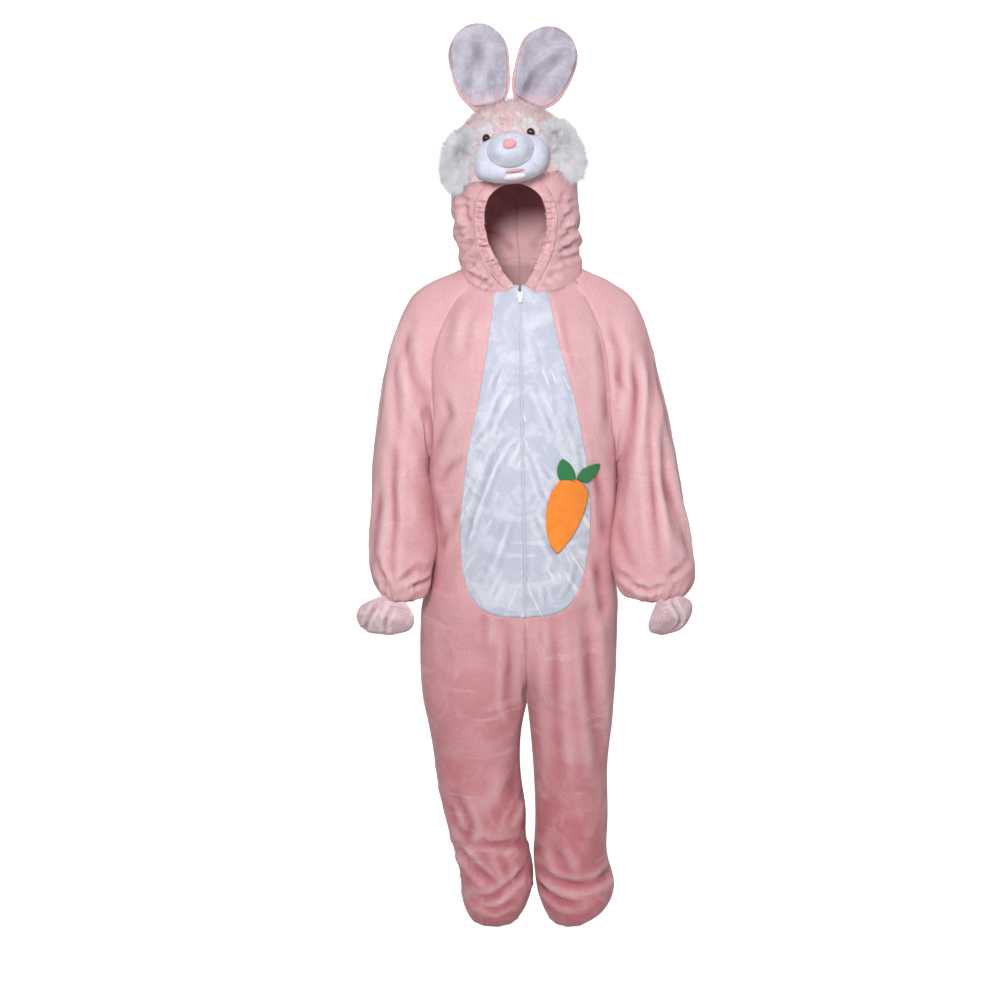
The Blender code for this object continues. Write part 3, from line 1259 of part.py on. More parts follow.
def felt_pad(name, outline, finish, count):
    """A flat piece laid on the suit. outline(p, q) gives x and z on the suit's front."""
    pad(name, count, lambda p, q: on_suit_front(*outline(p, q), LAID_GAP + 0.0004 + FELT),
        lambda p, q: on_suit_front(*outline(p, q), LAID_GAP + 0.0004), finish)


def felt_edge(edge, tip, share):
    """A point of an edge, from its corner at 0 to the tip at 1."""
    corner, bow, rise, fall = edge
    peak = rise / (rise + fall)
    off = bow * share ** rise * (1 - share) ** fall / (peak ** rise * (1 - peak) ** fall)
    along = Vector(tip) - Vector(corner)
    return Vector(corner) + along * share + Vector((-along.y, along.x)).normalized() * off


def felt_outline(tip, edges):
    """Disc places to a flat-based outline that runs to a pointed tip."""
    def outline(p, q):
        share = max((q + FLAT_BASE) / (1 + FLAT_BASE), 0.0)
        chord = max(math.sqrt(max(1 - q * q, 0.0)), 1e-6) if q > -FLAT_BASE else FLAT_BASE
        across = min(max(p / chord, -1.0), 1.0)
        place = felt_edge(edges[0], tip, share).lerp(felt_edge(edges[1], tip, share), (across + 1) / 2)
        return place.x, place.y
    return outline


def make_carrot():
    felt_pad("carrot", felt_outline(*CARROT), FELT_ORANGE, 8)
    for side, leaf in LEAVES.items():
        felt_pad("carrot_leaf_" + side_name(side), felt_outline(*leaf), FELT_GREEN, 4)


def main():
    for old in list(bpy.data.objects):
        bpy.data.objects.remove(old, do_unlink=True)
    for name in ("bunny_costume", "cutters"):
        bpy.context.scene.collection.children.link(bpy.data.collections.new(name))
    head = bpy.data.objects.new("head_place", None)
    head.matrix_world = head_to_world()
    bpy.data.collections["bunny_costume"].objects.link(head)
    make_suit()
    make_sleeves()
    make_hood()
    make_head(head)
    make_ears(head)
    make_paws()
    make_zip()
    make_carrot()


main()
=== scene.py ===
"""Bunny costume: plush cloth, piles, fur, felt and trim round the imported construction."""
import math

import bmesh
import bpy
import numpy as np
from mathutils import Matrix, Vector
from mathutils.bvhtree import BVHTree


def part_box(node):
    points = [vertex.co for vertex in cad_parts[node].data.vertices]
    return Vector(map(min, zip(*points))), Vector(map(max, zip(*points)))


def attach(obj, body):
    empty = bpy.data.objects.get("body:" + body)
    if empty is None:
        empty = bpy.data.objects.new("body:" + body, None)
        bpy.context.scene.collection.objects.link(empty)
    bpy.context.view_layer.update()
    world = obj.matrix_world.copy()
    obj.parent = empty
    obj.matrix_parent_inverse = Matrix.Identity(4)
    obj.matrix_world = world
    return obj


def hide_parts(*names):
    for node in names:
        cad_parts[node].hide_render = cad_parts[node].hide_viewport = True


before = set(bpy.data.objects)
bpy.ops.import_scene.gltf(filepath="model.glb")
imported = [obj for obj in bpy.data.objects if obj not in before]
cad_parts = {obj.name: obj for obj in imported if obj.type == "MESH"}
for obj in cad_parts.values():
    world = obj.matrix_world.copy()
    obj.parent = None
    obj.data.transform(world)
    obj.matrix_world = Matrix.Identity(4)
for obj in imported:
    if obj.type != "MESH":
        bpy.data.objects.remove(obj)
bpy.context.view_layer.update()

bl_info = {
    "name": "Bunny Costume",
    "version": (1, 0, 0),
    "blender": (4, 5, 0),
    "location": "View3D > Sidebar > Bunny Costume",
    "description": "Builds the plush, fur, felt and trim of a bunny costume",
    "category": "Object",
}

SUIT = "garment"
SIDES = ("left", "right")


def creases(table):
    """Rows of a crease table as (side, line, half width, depth), in metres."""
    return [(side, [(across / 1000, height / 1000) for across, height in zip(row[2::2], row[3::2])],
             row[0] / 1000, row[1] / 1000) for side, rows in table.items() for row in rows]


# Creases by the side they show on, in millimetres. Each row: half width, depth (negative for a ridge),
# then the line as pairs of across and height. Across is X, or Y on the left and right sides. The ridges
# whose half width is 80 or 60 swell the suit's sides and the sleeves' inner sides until they touch.
LEG_CREASES = creases({
    "front": [
        (8, 4.5, -26, -679, -26, -740, -28, -845, -16, -887), (6, 3, 32, -674, 34, -732),
        (11, 3.5, 54, -662, 60, -740, 61, -887, 71, -1014),
        (11, 5, 122, -668, 127, -767, 140, -894, 153, -1001), (8, -3, -57, -662, -57, -720),
        (4, 3.5, 4, -676, 3, -760, 4, -860), (18, 4, -10, -1001, -26, -1057, -55, -1092),
        (6, 3, -33, -1105, -8, -1066), (7, 5.5, -105, -1147, -76, -1138, -43, -1147, -10, -1153, 6, -1173),
        (8, 5.5, -129, -1158, -101, -1193, -60, -1228),
        (7, 6, 9, -1208, -35, -1237, -64, -1260, -97, -1264), (6, 4, -101, -1273, -56, -1282, -18, -1268),
        (5, -2.5, 27, -1035, 39, -1048, 58, -1055), (10, 3.5, 64, -1153, 85, -1202),
        (8, 7, 39, -1211, 64, -1224, 106, -1233, 172, -1228),
        (7, 6, 15, -1240, 40, -1255, 73, -1268, 110, -1271),
        (9, 3.5, -132, -1040, -104, -1101, -117, -1153), (7, 3, -145, -1066, -121, -1131),
        (7, 3, -47, -1167, -27, -1211), (3, 1.2, 72, -975, 141, -969), (3, 1, -106, -767, -10, -759),
        (3, 1, 79, -894, 136, -890), (3, 1, -115, -945, -18, -932),
    ],
    "back": [
        (8, 5, -100, -1150, -70, -1160, -30, -1150), (8, 5, 50, -1165, 90, -1180, 150, -1170),
        (8, 5.5, -95, -1230, -50, -1245, -10, -1235), (8, 5.5, 50, -1235, 100, -1250, 160, -1240),
        (10, 4, -120, -990, -70, -1010, -30, -990), (10, 4, 40, -1000, 90, -1020, 140, -1005),
        (10, 4.5, -30, -840, -75, -800, -120, -790), (10, 4.5, 35, -835, 80, -805, 130, -800),
    ],
    "left": [
        (10, 4, -40, -1060, 20, -1080), (9, 6, -50, -1225, 0, -1235, 50, -1228),
        (10, 4, -30, -1130, 40, -1145),
    ],
    "right": [
        (9, 5, -50, -1170, 10, -1190, 50, -1180), (8, 5, -40, -1255, 40, -1262),
        (10, 4, -50, -1020, 30, -1045),
    ],
})
BODY_CREASES = creases({
    "left": [
        (80, -4, -20, -300, -20, -620),
    ],
    "right": [
        (80, -4, -20, -300, -20, -620),
    ],
    "front": [
        (8, 3, -145, -254, -133, -290, -150, -323, -160, -364), (8, 3, -105, -366, -134, -386, -154, -423),
        (10, 4, -164, -460, -160, -506, -165, -553), (9, 3.5, -120, -465, -143, -519, -160, -560),
        (9, -2.5, -100, -94, -112, -106, -124, -174), (10, 3.5, 147, -131, 155, -243, 160, -324),
        (9, 4, 131, -386, 146, -448, 155, -532), (9, 4.5, 139, -574, 148, -616, 152, -680),
        (7, -2, 59, -94, 67, -161, 83, -212),
    ],
    "back": [
        (12, 3.5, -140, -150, -90, -230, -40, -270), (12, 3.5, 140, -150, 90, -240, 45, -280),
        (12, 3.5, -150, -420, -90, -470, -30, -480), (12, 3.5, 150, -430, 100, -480, 40, -500),
        (12, 4.5, -100, -560, -30, -590, 30, -585), (12, 4.5, 10, -640, 80, -620, 130, -630),
        (10, 2.5, -30, -100, -20, -180),
    ],
})
# The belly's crushed creases: painted shade in their troughs, painted highlight on their ridges and
# shoulders
BELLY_CREASES = creases({
    "front": [
        (4, 2.6, -21, -226, -44, -262, -66, -314, -92, -342),
        (4.5, 3, -23, -318, -57, -367, -83, -436, -110, -518), (3.5, -2, -14, -240, -36, -276, -58, -326),
        (3.5, -2.2, -15, -330, -48, -378, -74, -446, -100, -524), (4, 2, 19, -230, 39, -278, 59, -326),
        (4, 2.2, 7, -342, 31, -424, 48, -452), (4.5, 2.6, 15, -465, 40, -514, 64, -560),
        (5, -2.2, -21, -473, -45, -543, -70, -606), (4, 1.6, 8, -456, 10, -510, 6, -606),
        (4, 1.8, -28, -190, -48, -222, -60, -254), (3, -1.6, -92, -342, -69, -352),
        (3.5, 1.8, 35, -383, 47, -399, 59, -411), (3.5, -1.6, -101, -415, -77, -440),
        (3.5, 1.6, -117, -465, -93, -497, -110, -518), (5, 2, 83, -294, 103, -342, 112, -399),
        (5, 2, 105, -560, 93, -606, 73, -639), (4, 2, 40, -606, 44, -648), (4, 1.8, -40, -590, -60, -640),
        (4, 1.4, 20, -150, 34, -205),
    ],
})
SLEEVE_CREASES = {
    "right": creases({
        "left": [
            (60, -8, -5, -300, -20, -420, -60, -600),
        ],
        "front": [
            (10, 5.5, -210, -122, -217, -166, -211, -215, -188, -255, -172, -329, -168, -391),
            (9, 4, -226, -150, -238, -215, -236, -272, -229, -329),
            (8, 4, -239, -324, -244, -407, -242, -490, -247, -574, -246, -620),
            (7, -3, -186, -269, -199, -293, -175, -351), (12, -3.5, -206, -347, -212, -446, -205, -508),
            (6, 5.5, -232, -602, -199, -576, -187, -585), (5, 3.5, -262, -586, -255, -620),
            (5, 5, -208, -612, -184, -606, -170, -604), (6, 4, -275, -560, -262, -600),
        ],
        "right": [
            (12, 4, -20, -210, -30, -330), (12, 5, 20, -300, -10, -450), (10, 4, -80, -430, -90, -570),
            (8, 4.5, -40, -500, -60, -600),
        ],
        "back": [
            (12, 5.5, -180, -140, -205, -260, -195, -380), (12, 5, -235, -260, -240, -420, -235, -560),
            (10, 4.5, -205, -450, -215, -580),
        ],
    }),
    "left": creases({
        "right": [
            (60, -8, -5, -300, -20, -420, -60, -600),
        ],
        "front": [
            (9, 5, 208, -198, 212, -247, 199, -329, 190, -412, 186, -470),
            (8, 4.5, 165, -137, 180, -177, 178, -226, 190, -270),
            (8, -3.5, 222, -190, 228, -290, 224, -370), (9, 3.5, 233, -158, 242, -215, 256, -288),
            (9, 5, 261, -300, 267, -407, 281, -490, 298, -532),
            (9, 5, 238, -240, 236, -324, 240, -407, 246, -490, 258, -574),
            (9, 3, 184, -480, 190, -529, 208, -588), (5, 5, 198, -606, 235, -618, 263, -606),
            (6, 5, 271, -589, 295, -576, 311, -564), (6, 4.5, 182, -590, 206, -600),
        ],
        "left": [
            (12, 4.5, -20, -210, -30, -350), (12, 5, 20, -320, 0, -470), (10, 4.5, -80, -400, -85, -560),
            (9, 5, -40, -480, -55, -600),
        ],
        "back": [
            (12, 5.5, 180, -140, 205, -270, 197, -390), (12, 5, 240, -260, 250, -420, 262, -560),
            (10, 4.5, 210, -440, 228, -580),
        ],
    }),
}
HOOD_CREASES = creases({
    "front": [
        (6, 4.5, -108, 108, -105, 70, -88, 53), (6, 4, -118, 5, -89, 29),
        (6, 4.5, -112, -23, -83, -2, -60, 1), (5, 3, -107, -30, -79, -47, -55, -58),
        (5, 3, 74, 111, 66, 91), (6, 4, 94, 78, 66, 53), (6, 4.5, 101, 46, 64, 27),
        (6, 4.5, 106, 22, 60, 1), (5, 4, 105, -2, 56, -10), (5, 3, 60, -34, 36, -44),
    ],
    "left": [
        (9, 4.5, -30, 60, 20, 30, 60, 20), (9, 4.5, -20, 10, 30, -5), (10, 4, 10, 110, 60, 80),
    ],
    "right": [
        (9, 4.5, -30, 70, 30, 40, 70, 30), (9, 4.5, -20, 15, 40, -5), (10, 4, 0, 120, 50, 100),
    ],
    "back": [
        (10, 4.5, -70, 40, -30, 10, -15, 0), (10, 4.5, 60, 50, 30, 15, 15, 5),
        (10, 3.5, -60, 110, -20, 90),
    ],
})
EAR_CREASES = {
    "right": creases({
        "front": [
            (11, 5.5, -82, 392, -84, 360, -95, 327, -99, 296), (8, 3, -60, 330, -66, 290),
        ],
    }),
    "left": creases({
        "front": [
            (8, 6.5, 75, 366, 47, 344, 24, 324, 12, 303, 5, 280), (8, -3, 60, 320, 35, 290),
        ],
    }),
}
TOE_LINES = {
    "right": creases({
        "front": [
            (3.6, 6, -276, -648, -290, -670, -303, -706), (3.6, 6, -245, -650, -259, -676, -263, -710),
        ],
    }),
    "left": creases({
        "front": [
            (3.6, 6, 278, -641, 291, -657, 298, -668, 296, -683, 286, -695),
        ],
    }),
}
# The muzzle's shallow crease along its top mostly carries painted grey shade below the crown
MUZZLE_CREASES = creases({
    "front": [
        (3, 1, -60, 201, -56, 209, -43.8, 216, -17.5, 219, 5.3, 215.5, 17.5, 209, 21, 201),
    ],
})

# The stitch lines of the face casing, as (X, height) pairs in metres
STITCH_LINES = {
    "right": [(-0.0880, 0.1000), (-0.0905, 0.0600), (-0.0850, 0.0150), (-0.0700, -0.0200),
              (-0.0480, -0.0450)],
    "left": [(0.0600, 0.0980), (0.0600, 0.0600), (0.0540, 0.0150), (0.0400, -0.0200), (0.0220, -0.0450)],
}
STITCH_SPACING, STITCH_LENGTH, STITCH_WIDTH = 0.0055, 0.0034, 0.0013

# The middle lines that cloth is pressed towards
LEG_MIDDLES, CROTCH_X = (-0.080, 0.095), 0.008
SLEEVE_MIDDLE = [(0.090, 0.0, -0.105), (0.155, 0.0, -0.190), (0.215, -0.005, -0.300),
                 (0.232, -0.030, -0.460), (0.248, -0.062, -0.590), (0.250, -0.070, -0.680)]
HOOD_MIDDLE_X, HOOD_MIDDLE_TOP = -0.012, 0.125
HEAD_CENTRE = np.array([-0.015, 0.0, 0.135])

# Where cloth reaches further under its neighbour: where the raglan seams meet the neck, below the zip
RAGLAN_TOP, RAGLAN_ROUND, RAGLAN_REACH = (0.10, -0.050), 0.022, 0.008
NECK_HEIGHT, ZIP_END, BELOW_ZIP_REACH = -0.12, -0.657, 0.0021

# The gathers of the cuffs: from which height to which, from where to where across, round which middle,
# and the share of the cuff's height that they take up
CUFF_HEIGHTS, CUFF_ACROSS, CUFF_MIDDLE, CUFF_DRAWN_UP = (-0.606, -0.650), (0.185, 0.310), 0.245, 0.75

# The head: how the jaw's upper half is moved and widened, and how far the cheeks' backing is sunk
# under its fur
JAW_LIFT, JAW_SET_BACK, JAW_WIDER, JAW_FULLER_RIGHT = 0.010, 0.012, 0.10, 0.08
CHEEK_SUNK, CHEEK_SUNK_OVER, CHEEK_RADIUS = 0.013, 0.030, 0.052
BROW_LENGTH, BROW_FAN, EYE_DARK = 0.0065, 60, 0.80

# The paws: which way each leans, and how far its upper half is tucked back under the cuff
PAW_LEAN = {"right": 0.012, "left": -0.012}
PAW_TUCK, PAW_TUCK_WIDTH, PAW_TUCK_LIFT = 0.030, 0.030, 0.004


# Properties

def measure(name, text, value, low=0.0):
    return bpy.props.FloatProperty(name=name, description=text, default=value, min=low, max=1.0,
                                   unit="LENGTH", precision=4)


def share(name, text, value):
    return bpy.props.FloatProperty(name=name, description=text, default=value, min=0.0, max=2.0,
                                   subtype="FACTOR")


def colour_setting(name, text, value):
    return bpy.props.FloatVectorProperty(name=name, description=text, default=value, size=3, min=0.0,
                                         max=1.0, subtype="COLOR")


class BunnySizes(bpy.types.PropertyGroup):
    """Sizes and strengths that a user can change"""
    crease_depth: share("Crease depth", "Scales every crease of the suit", 1.5)
    belly_crush: share("Belly crush", "Scales the creases of the belly", 1.0)
    ripple: measure("Ripple", "Height of the slow unevenness of the cloth", 0.0015)
    puff: measure("Puff", "How far the plush swells beside its seams", 0.0010)
    pucker_spacing: measure("Pucker spacing", "Distance between puckers beside the face casing", 0.0085)
    casing_gathers: measure("Casing gathers", "Distance between gathers of the face casing", 0.0060)
    wrist_spacing: measure("Wrist gathers", "Distance between gathers above the cuffs", 0.0130)
    cheek_fur: measure("Cheek fur", "Length of the cheek fur", 0.020)
    crown_pile: measure("Crown pile", "Length of the mottled pile", 0.0085)
    ear_cover: measure("Ear cover", "How far the inner ear spreads to the ear's rim", 0.0022)
    seam_close: measure("Seam closing", "How far each panel reaches into its seams", 0.00025)
    neck_tuck: measure("Neck tuck", "How far panels reach under each other at the neck", 0.0030)
    cuff_height: measure("Cuff height", "Below this the cuff is drawn up", -0.640, low=-2.0)
    floor_height: measure("Floor height", "Where the floor lies", -1.455, low=-2.0)


class BunnyColours(bpy.types.PropertyGroup):
    """Dyes, and the colours of painted light and shade, that a user can change"""
    pink: colour_setting("Pink", "Suit plush", (0.590, 0.190, 0.215))
    # Painted sheen and highlight of the suit plush, and its painted light towards the top
    pink_lit: colour_setting("Pink, painted sheen", "Suit plush where the nap catches light", (0.850, 0.550, 0.575))
    # The stitch thread's own colour, and the painted shade of the pink plush in its folds and darker
    # patches
    pink_thread_and_shade: colour_setting("Pink, in folds", "Stitch thread, and painted shade of the suit plush in its folds", (0.440, 0.135, 0.165))
    # Painted shade of the pink plush at grazing angles
    pink_grazing_shade: colour_setting("Pink, turned away", "Painted shade of the suit plush at grazing angles", (0.440, 0.260, 0.290))
    belly: colour_setting("Belly", "Belly plush", (0.570, 0.595, 0.710))
    # Painted highlight of the white plush: its sheen patches, crushed streaks and crease ridges
    belly_lit: colour_setting("Belly, painted highlight", "Painted highlight of the belly plush along its crushed creases", (0.880, 0.885, 0.950))
    # Painted shade of the white plush in its folds, darker patches and at grazing angles
    belly_shade: colour_setting("Belly, in folds", "Painted shade of the belly plush in its folds", (0.420, 0.445, 0.560))
    muzzle: colour_setting("Muzzle", "Muzzle and jaw plush", (0.655, 0.680, 0.800))
    crown_pink: colour_setting("Crown pink", "Pink of the mottled pile", (0.960, 0.630, 0.650))
    crown_white: colour_setting("Crown white", "White of the mottled pile", (0.970, 0.850, 0.880))
    fur: colour_setting("Cheek fur", "Long fur", (0.960, 0.945, 1.000))
    # Painted shade on the cheek fur's tips, towards the lower, outer edge
    fur_tip_shade: colour_setting("Cheek fur, painted tip shade", "Painted shade on the tips of the long fur", (0.740, 0.730, 0.810))
    ear_shade: colour_setting("Ear shade", "Inner ear plush in its fold", (0.270, 0.230, 0.310))
    mauve: colour_setting("Paws", "Paw plush", (0.700, 0.480, 0.510))
    # Painted shade of the paws in their toe lines and at grazing angles
    mauve_shade: colour_setting("Paws, in folds", "Painted shade of the paw plush along its toe lines", (0.420, 0.230, 0.280))
    orange: colour_setting("Carrot", "Carrot felt", (0.980, 0.290, 0.045))
    green: colour_setting("Leaves", "Leaf felt", (0.045, 0.230, 0.085))
    nose: colour_setting("Nose", "Nose velour", (0.880, 0.370, 0.380))
    eye: colour_setting("Eye", "Eye plastic", (0.030, 0.008, 0.010))
    eye_rim: colour_setting("Eye rim", "Rim of the eye", (0.330, 0.040, 0.065))
    lip: colour_setting("Mouth", "Mouth velour", (0.660, 0.350, 0.400))
    ear: colour_setting("Ear lining", "Inner ear plush", (0.460, 0.410, 0.485))
    # Painted sheen of the inner ear
    ear_lit: colour_setting("Ear lining, painted sheen", "Inner ear plush that catches light", (0.615, 0.630, 0.740))
    zip: colour_setting("Zip", "Zip plastic", (0.860, 0.870, 0.900))


# Node helpers

def wire(node, inputs):
    """Joins or sets a node's inputs."""
    for key, value in inputs.items():
        if isinstance(value, bpy.types.NodeSocket):
            node.id_data.links.new(value, node.inputs[key])
        else:
            node.inputs[key].default_value = value


def add(tree, kind, inputs=None, **settings):
    """Places a node, sets it up, and joins or sets its inputs."""
    made = tree.nodes.new(kind)
    for key, value in settings.items():
        setattr(made, key, value)
    wire(made, inputs or {})
    return made


def maths(tree, operation, a, b=0.0, clamp=False):
    return add(tree, "ShaderNodeMath", {0: a, 1: b}, operation=operation, use_clamp=clamp).outputs[0]


def times(tree, a, b, clamp=False):
    return maths(tree, "MULTIPLY", a, b, clamp)


def vectors(tree, operation, inputs):
    return add(tree, "ShaderNodeVectorMath", inputs, operation=operation).outputs[0]


def ranged(tree, value, low, high, to_low=0.0, to_high=1.0):
    return add(tree, "ShaderNodeMapRange", {
        "Value": value, "From Min": low, "From Max": high, "To Min": to_low, "To Max": to_high},
        clamp=True, interpolation_type="SMOOTHSTEP").outputs["Result"]


def mixed(tree, factor, a, b, blend="MIX"):
    a, b = (end if isinstance(end, bpy.types.NodeSocket) else (*end, 1.0) for end in (a, b))
    return add(tree, "ShaderNodeMix", {0: factor, 6: a, 7: b}, data_type="RGBA",
               blend_type=blend).outputs[2]


def grey(tree, value):
    return add(tree, "ShaderNodeCombineColor", {"Red": value, "Green": value, "Blue": value}).outputs[0]


def shaded(tree, colour, tone):
    return mixed(tree, 1.0, colour, grey(tree, tone), "MULTIPLY")


def noise(tree, vector, scale, detail=3.0, rough=0.55, twist=0.0):
    return add(tree, "ShaderNodeTexNoise", {"Vector": vector, "Scale": scale, "Detail": detail,
                                            "Roughness": rough, "Distortion": twist}).outputs["Fac"]


def object_place(tree):
    return add(tree, "ShaderNodeTexCoord").outputs["Object"]


def attribute(tree, name, output="Fac"):
    return add(tree, "ShaderNodeAttribute", attribute_name=name).outputs[output]


def nap_group():
    """Nap of short plush: brushed patches, crushed streaks, packing creases and the pile itself."""
    found = bpy.data.node_groups.get("plush nap")
    if found:
        return found
    tree = bpy.data.node_groups.new("plush nap", "ShaderNodeTree")
    tree.interface.new_socket("Vector", in_out="INPUT", socket_type="NodeSocketVector")
    for way, labels in (("INPUT", ("Patch Scale", "Crush Scale", "Along Scale", "Crease Scale")),
                        ("OUTPUT", ("Patches", "Crush", "Creases", "Pile"))):
        for label in labels:
            tree.interface.new_socket(label, in_out=way, socket_type="NodeSocketFloat")
    given, out = tree.nodes.new("NodeGroupInput").outputs, tree.nodes.new("NodeGroupOutput")
    place = given["Vector"]
    slow = noise(tree, place, given["Patch Scale"], 4.0, 0.55, 1.8)
    split = add(tree, "ShaderNodeSeparateXYZ", {0: place}).outputs
    beside, height = maths(tree, "ABSOLUTE", split[0]), split[2]
    # The crushed streaks run down and outwards from the zip, at this angle from upright
    lean = math.radians(27)
    sine, cosine = math.sin(lean), math.cos(lean)
    along = maths(tree, "SUBTRACT", times(tree, beside, sine), times(tree, height, cosine))
    across = maths(tree, "ADD", times(tree, beside, cosine), times(tree, height, sine))
    fanned = add(tree, "ShaderNodeCombineXYZ", {
        "X": times(tree, across, given["Crush Scale"]), "Y": times(tree, split[1], 20.0),
        "Z": times(tree, along, given["Along Scale"])}).outputs[0]
    streaks = ranged(tree, noise(tree, fanned, 1.0, 5.0, 0.60, 0.8), 0.52, 0.63)
    streaked = ranged(tree, noise(tree, place, 7.0, 2.0), 0.42, 0.60)
    level = vectors(tree, "MULTIPLY", {0: place, 1: (0.12, 0.12, 1.0)})
    bands = ranged(tree, noise(tree, level, given["Crease Scale"], 3.0, 0.5, 0.4), 0.56, 0.68)
    banded = ranged(tree, noise(tree, place, 8.0, 2.0), 0.46, 0.60)
    fine, tufts = noise(tree, place, 620.0, 2.0, 0.6), noise(tree, place, 190.0, 2.0, 0.55)
    wire(out, {"Patches": ranged(tree, slow, 0.42, 0.66), "Crush": times(tree, streaks, streaked),
               "Creases": times(tree, bands, banded), "Pile": maths(tree, "ADD", fine, tufts)})
    return tree


def new_material(name):
    material = bpy.data.materials.new(name)
    material.use_nodes = True
    return material, material.node_tree, material.node_tree.nodes["Principled BSDF"]


def plush(name, base, lit, deep, edge, patch=9.0, crush=42.0, along=20.0, crease=60.0, spread=0.6,
          crushed=0.45, packed=0.25, fold=0.85, grain=0.09, edging=0.0, height_tint_and_light=None, rough=0.78,
          sheen=0.35, bump=0.5):
    """Short plush: its colour follows the nap and the pile, with painted sheen in brushed patches, painted
    highlights on crushed streaks, packing creases and fold shoulders, and painted shade in darker patches,
    folds and at grazing angles.
    """
    found = bpy.data.materials.get(name)
    if found:
        return found
    material, tree, shader = new_material(name)
    nap = add(tree, "ShaderNodeGroup", node_tree=nap_group())
    wire(nap, {"Vector": object_place(tree), "Patch Scale": patch, "Crush Scale": crush,
               "Along Scale": along, "Crease Scale": crease})
    nap, folds = nap.outputs, attribute(tree, "fold")
    # Painted sheen: brushed patches lighter, and the lowest of them darker in painted shade
    colour = mixed(tree, times(tree, nap["Patches"], spread), base, lit)
    colour = mixed(tree, ranged(tree, nap["Patches"], 0.0, 0.35, spread * 0.25, 0.0), colour, deep)
    # Painted highlights along the crushed streaks and the packing creases
    colour = mixed(tree, times(tree, nap["Crush"], crushed), colour, lit)
    colour = mixed(tree, times(tree, nap["Creases"], packed), colour, lit)
    # Colour by height: on the suit a painted light, lighter towards the top; on the ears their own pink at
    # the base
    if height_tint_and_light:
        low, high, amount, tint = height_tint_and_light
        height = add(tree, "ShaderNodeSeparateXYZ", {0: object_place(tree)}).outputs[2]
        colour = mixed(tree, ranged(tree, height, low, high, 0.0, amount), colour, tint)
    if edging:
        colour = mixed(tree, ranged(tree, attribute(tree, "seam"), 0.75, 1.0, 0.0, edging), colour, lit)
    # Painted shade in the folds' troughs, painted highlight on their shoulders and on ridges
    colour = mixed(tree, times(tree, folds, fold, True), colour, deep)
    colour = mixed(tree, times(tree, folds, -fold, True), colour, lit)
    # Painted shade at grazing angles
    turned = add(tree, "ShaderNodeLayerWeight", {"Blend": 0.5}).outputs["Facing"]
    colour = mixed(tree, ranged(tree, turned, 0.45, 0.95, 0.0, 0.65), colour, edge)
    colour = shaded(tree, colour, ranged(tree, nap["Pile"], 0.65, 1.35, 1.0 - grain, 1.0 + grain * 0.3))
    height = maths(tree, "ADD", times(tree, nap["Creases"], 0.35), nap["Crush"])
    coarse = add(tree, "ShaderNodeBump", {"Height": height, "Strength": bump, "Distance": 0.0024})
    fine = add(tree, "ShaderNodeBump", {"Height": nap["Pile"], "Strength": 0.10, "Distance": 0.0008,
                                        "Normal": coarse.outputs["Normal"]})
    wire(shader, {"Base Color": colour, "Normal": fine.outputs["Normal"],
                  "Roughness": maths(tree, "ADD", times(tree, nap["Crush"], -0.25), rough),
                  "Sheen Weight": sheen, "Sheen Roughness": 0.40, "Sheen Tint": (*lit, 1.0),
                  "Specular IOR Level": 0.25})
    return material


def pile_material(name, first, second, scale, tips=None):
    """Loose pile: two colours in mottles, each tuft a little lighter or darker, with painted shade towards
    its roots and, where given, on its tips. Most shadow rays pass it, and it is shaded with its base's
    normals, as light spreads in real pile."""
    material, tree, shader = new_material(name)
    mottle = ranged(tree, noise(tree, object_place(tree), scale, 3.0, 0.6, 1.0), 0.40, 0.60)
    colour = mixed(tree, mottle, first, second)
    # Painted shade on the tips, where the outer attribute is set
    if tips:
        along = ranged(tree, attribute(tree, "tip"), 0.45, 1.0)
        colour = mixed(tree, times(tree, along, attribute(tree, "outer")), colour, tips)
    tone = ranged(tree, attribute(tree, "tone"), 0.0, 1.0, 0.92, 1.08)
    # Painted shade: a little darker towards the roots
    root = ranged(tree, attribute(tree, "tip"), 0.0, 0.5, 0.94, 1.0)
    lock = ranged(tree, attribute(tree, "lock"), 0.0, 1.0, 0.88, 1.08)
    lifted = vectors(tree, "SCALE", {0: attribute(tree, "surface", "Vector"), "Scale": 1.8})
    facing = add(tree, "ShaderNodeNewGeometry").outputs["Normal"]
    lean = vectors(tree, "ADD", {0: lifted, 1: facing})
    shade = add(tree, "ShaderNodeLightPath").outputs["Is Shadow Ray"]
    wire(shader, {"Base Color": shaded(tree, colour, times(tree, times(tree, tone, root), lock)),
                  "Normal": vectors(tree, "NORMALIZE", {0: lean}),
                  "Alpha": maths(tree, "SUBTRACT", 1.0, times(tree, shade, 0.95)),
                  "Roughness": 0.85, "Sheen Weight": 0.30, "Sheen Roughness": 0.40,
                  "Specular IOR Level": 0.20})
    return material


def felt(name, dyed):
    """Pressed felt: matted fibres, painted shade in the troughs of its creases and a slightly fuzzy face.
    """
    material, tree, shader = new_material(name)
    place = object_place(tree)
    drawn = vectors(tree, "MULTIPLY", {0: place, 1: (1.0, 1.0, 0.55)})
    fibres, clouds = noise(tree, drawn, 520.0, 4.0, 0.65, 0.6), noise(tree, place, 38.0, 3.0, 0.55)
    tone = maths(tree, "ADD", ranged(tree, fibres, 0.3, 0.7, 0.88, 1.04),
                 ranged(tree, clouds, 0.3, 0.7, -0.05, 0.05))
    # Painted shade: darker in the creases' troughs
    rim = times(tree, attribute(tree, "fold"), 0.35, True)
    bump = add(tree, "ShaderNodeBump", {"Height": fibres, "Strength": 0.30, "Distance": 0.0006})
    colour = mixed(tree, rim, shaded(tree, dyed, tone), [0.55 * part for part in dyed])
    wire(shader, {"Base Color": colour, "Normal": bump.outputs["Normal"], "Roughness": 0.92,
                  "Specular IOR Level": 0.15, "Sheen Weight": 0.15})
    return material


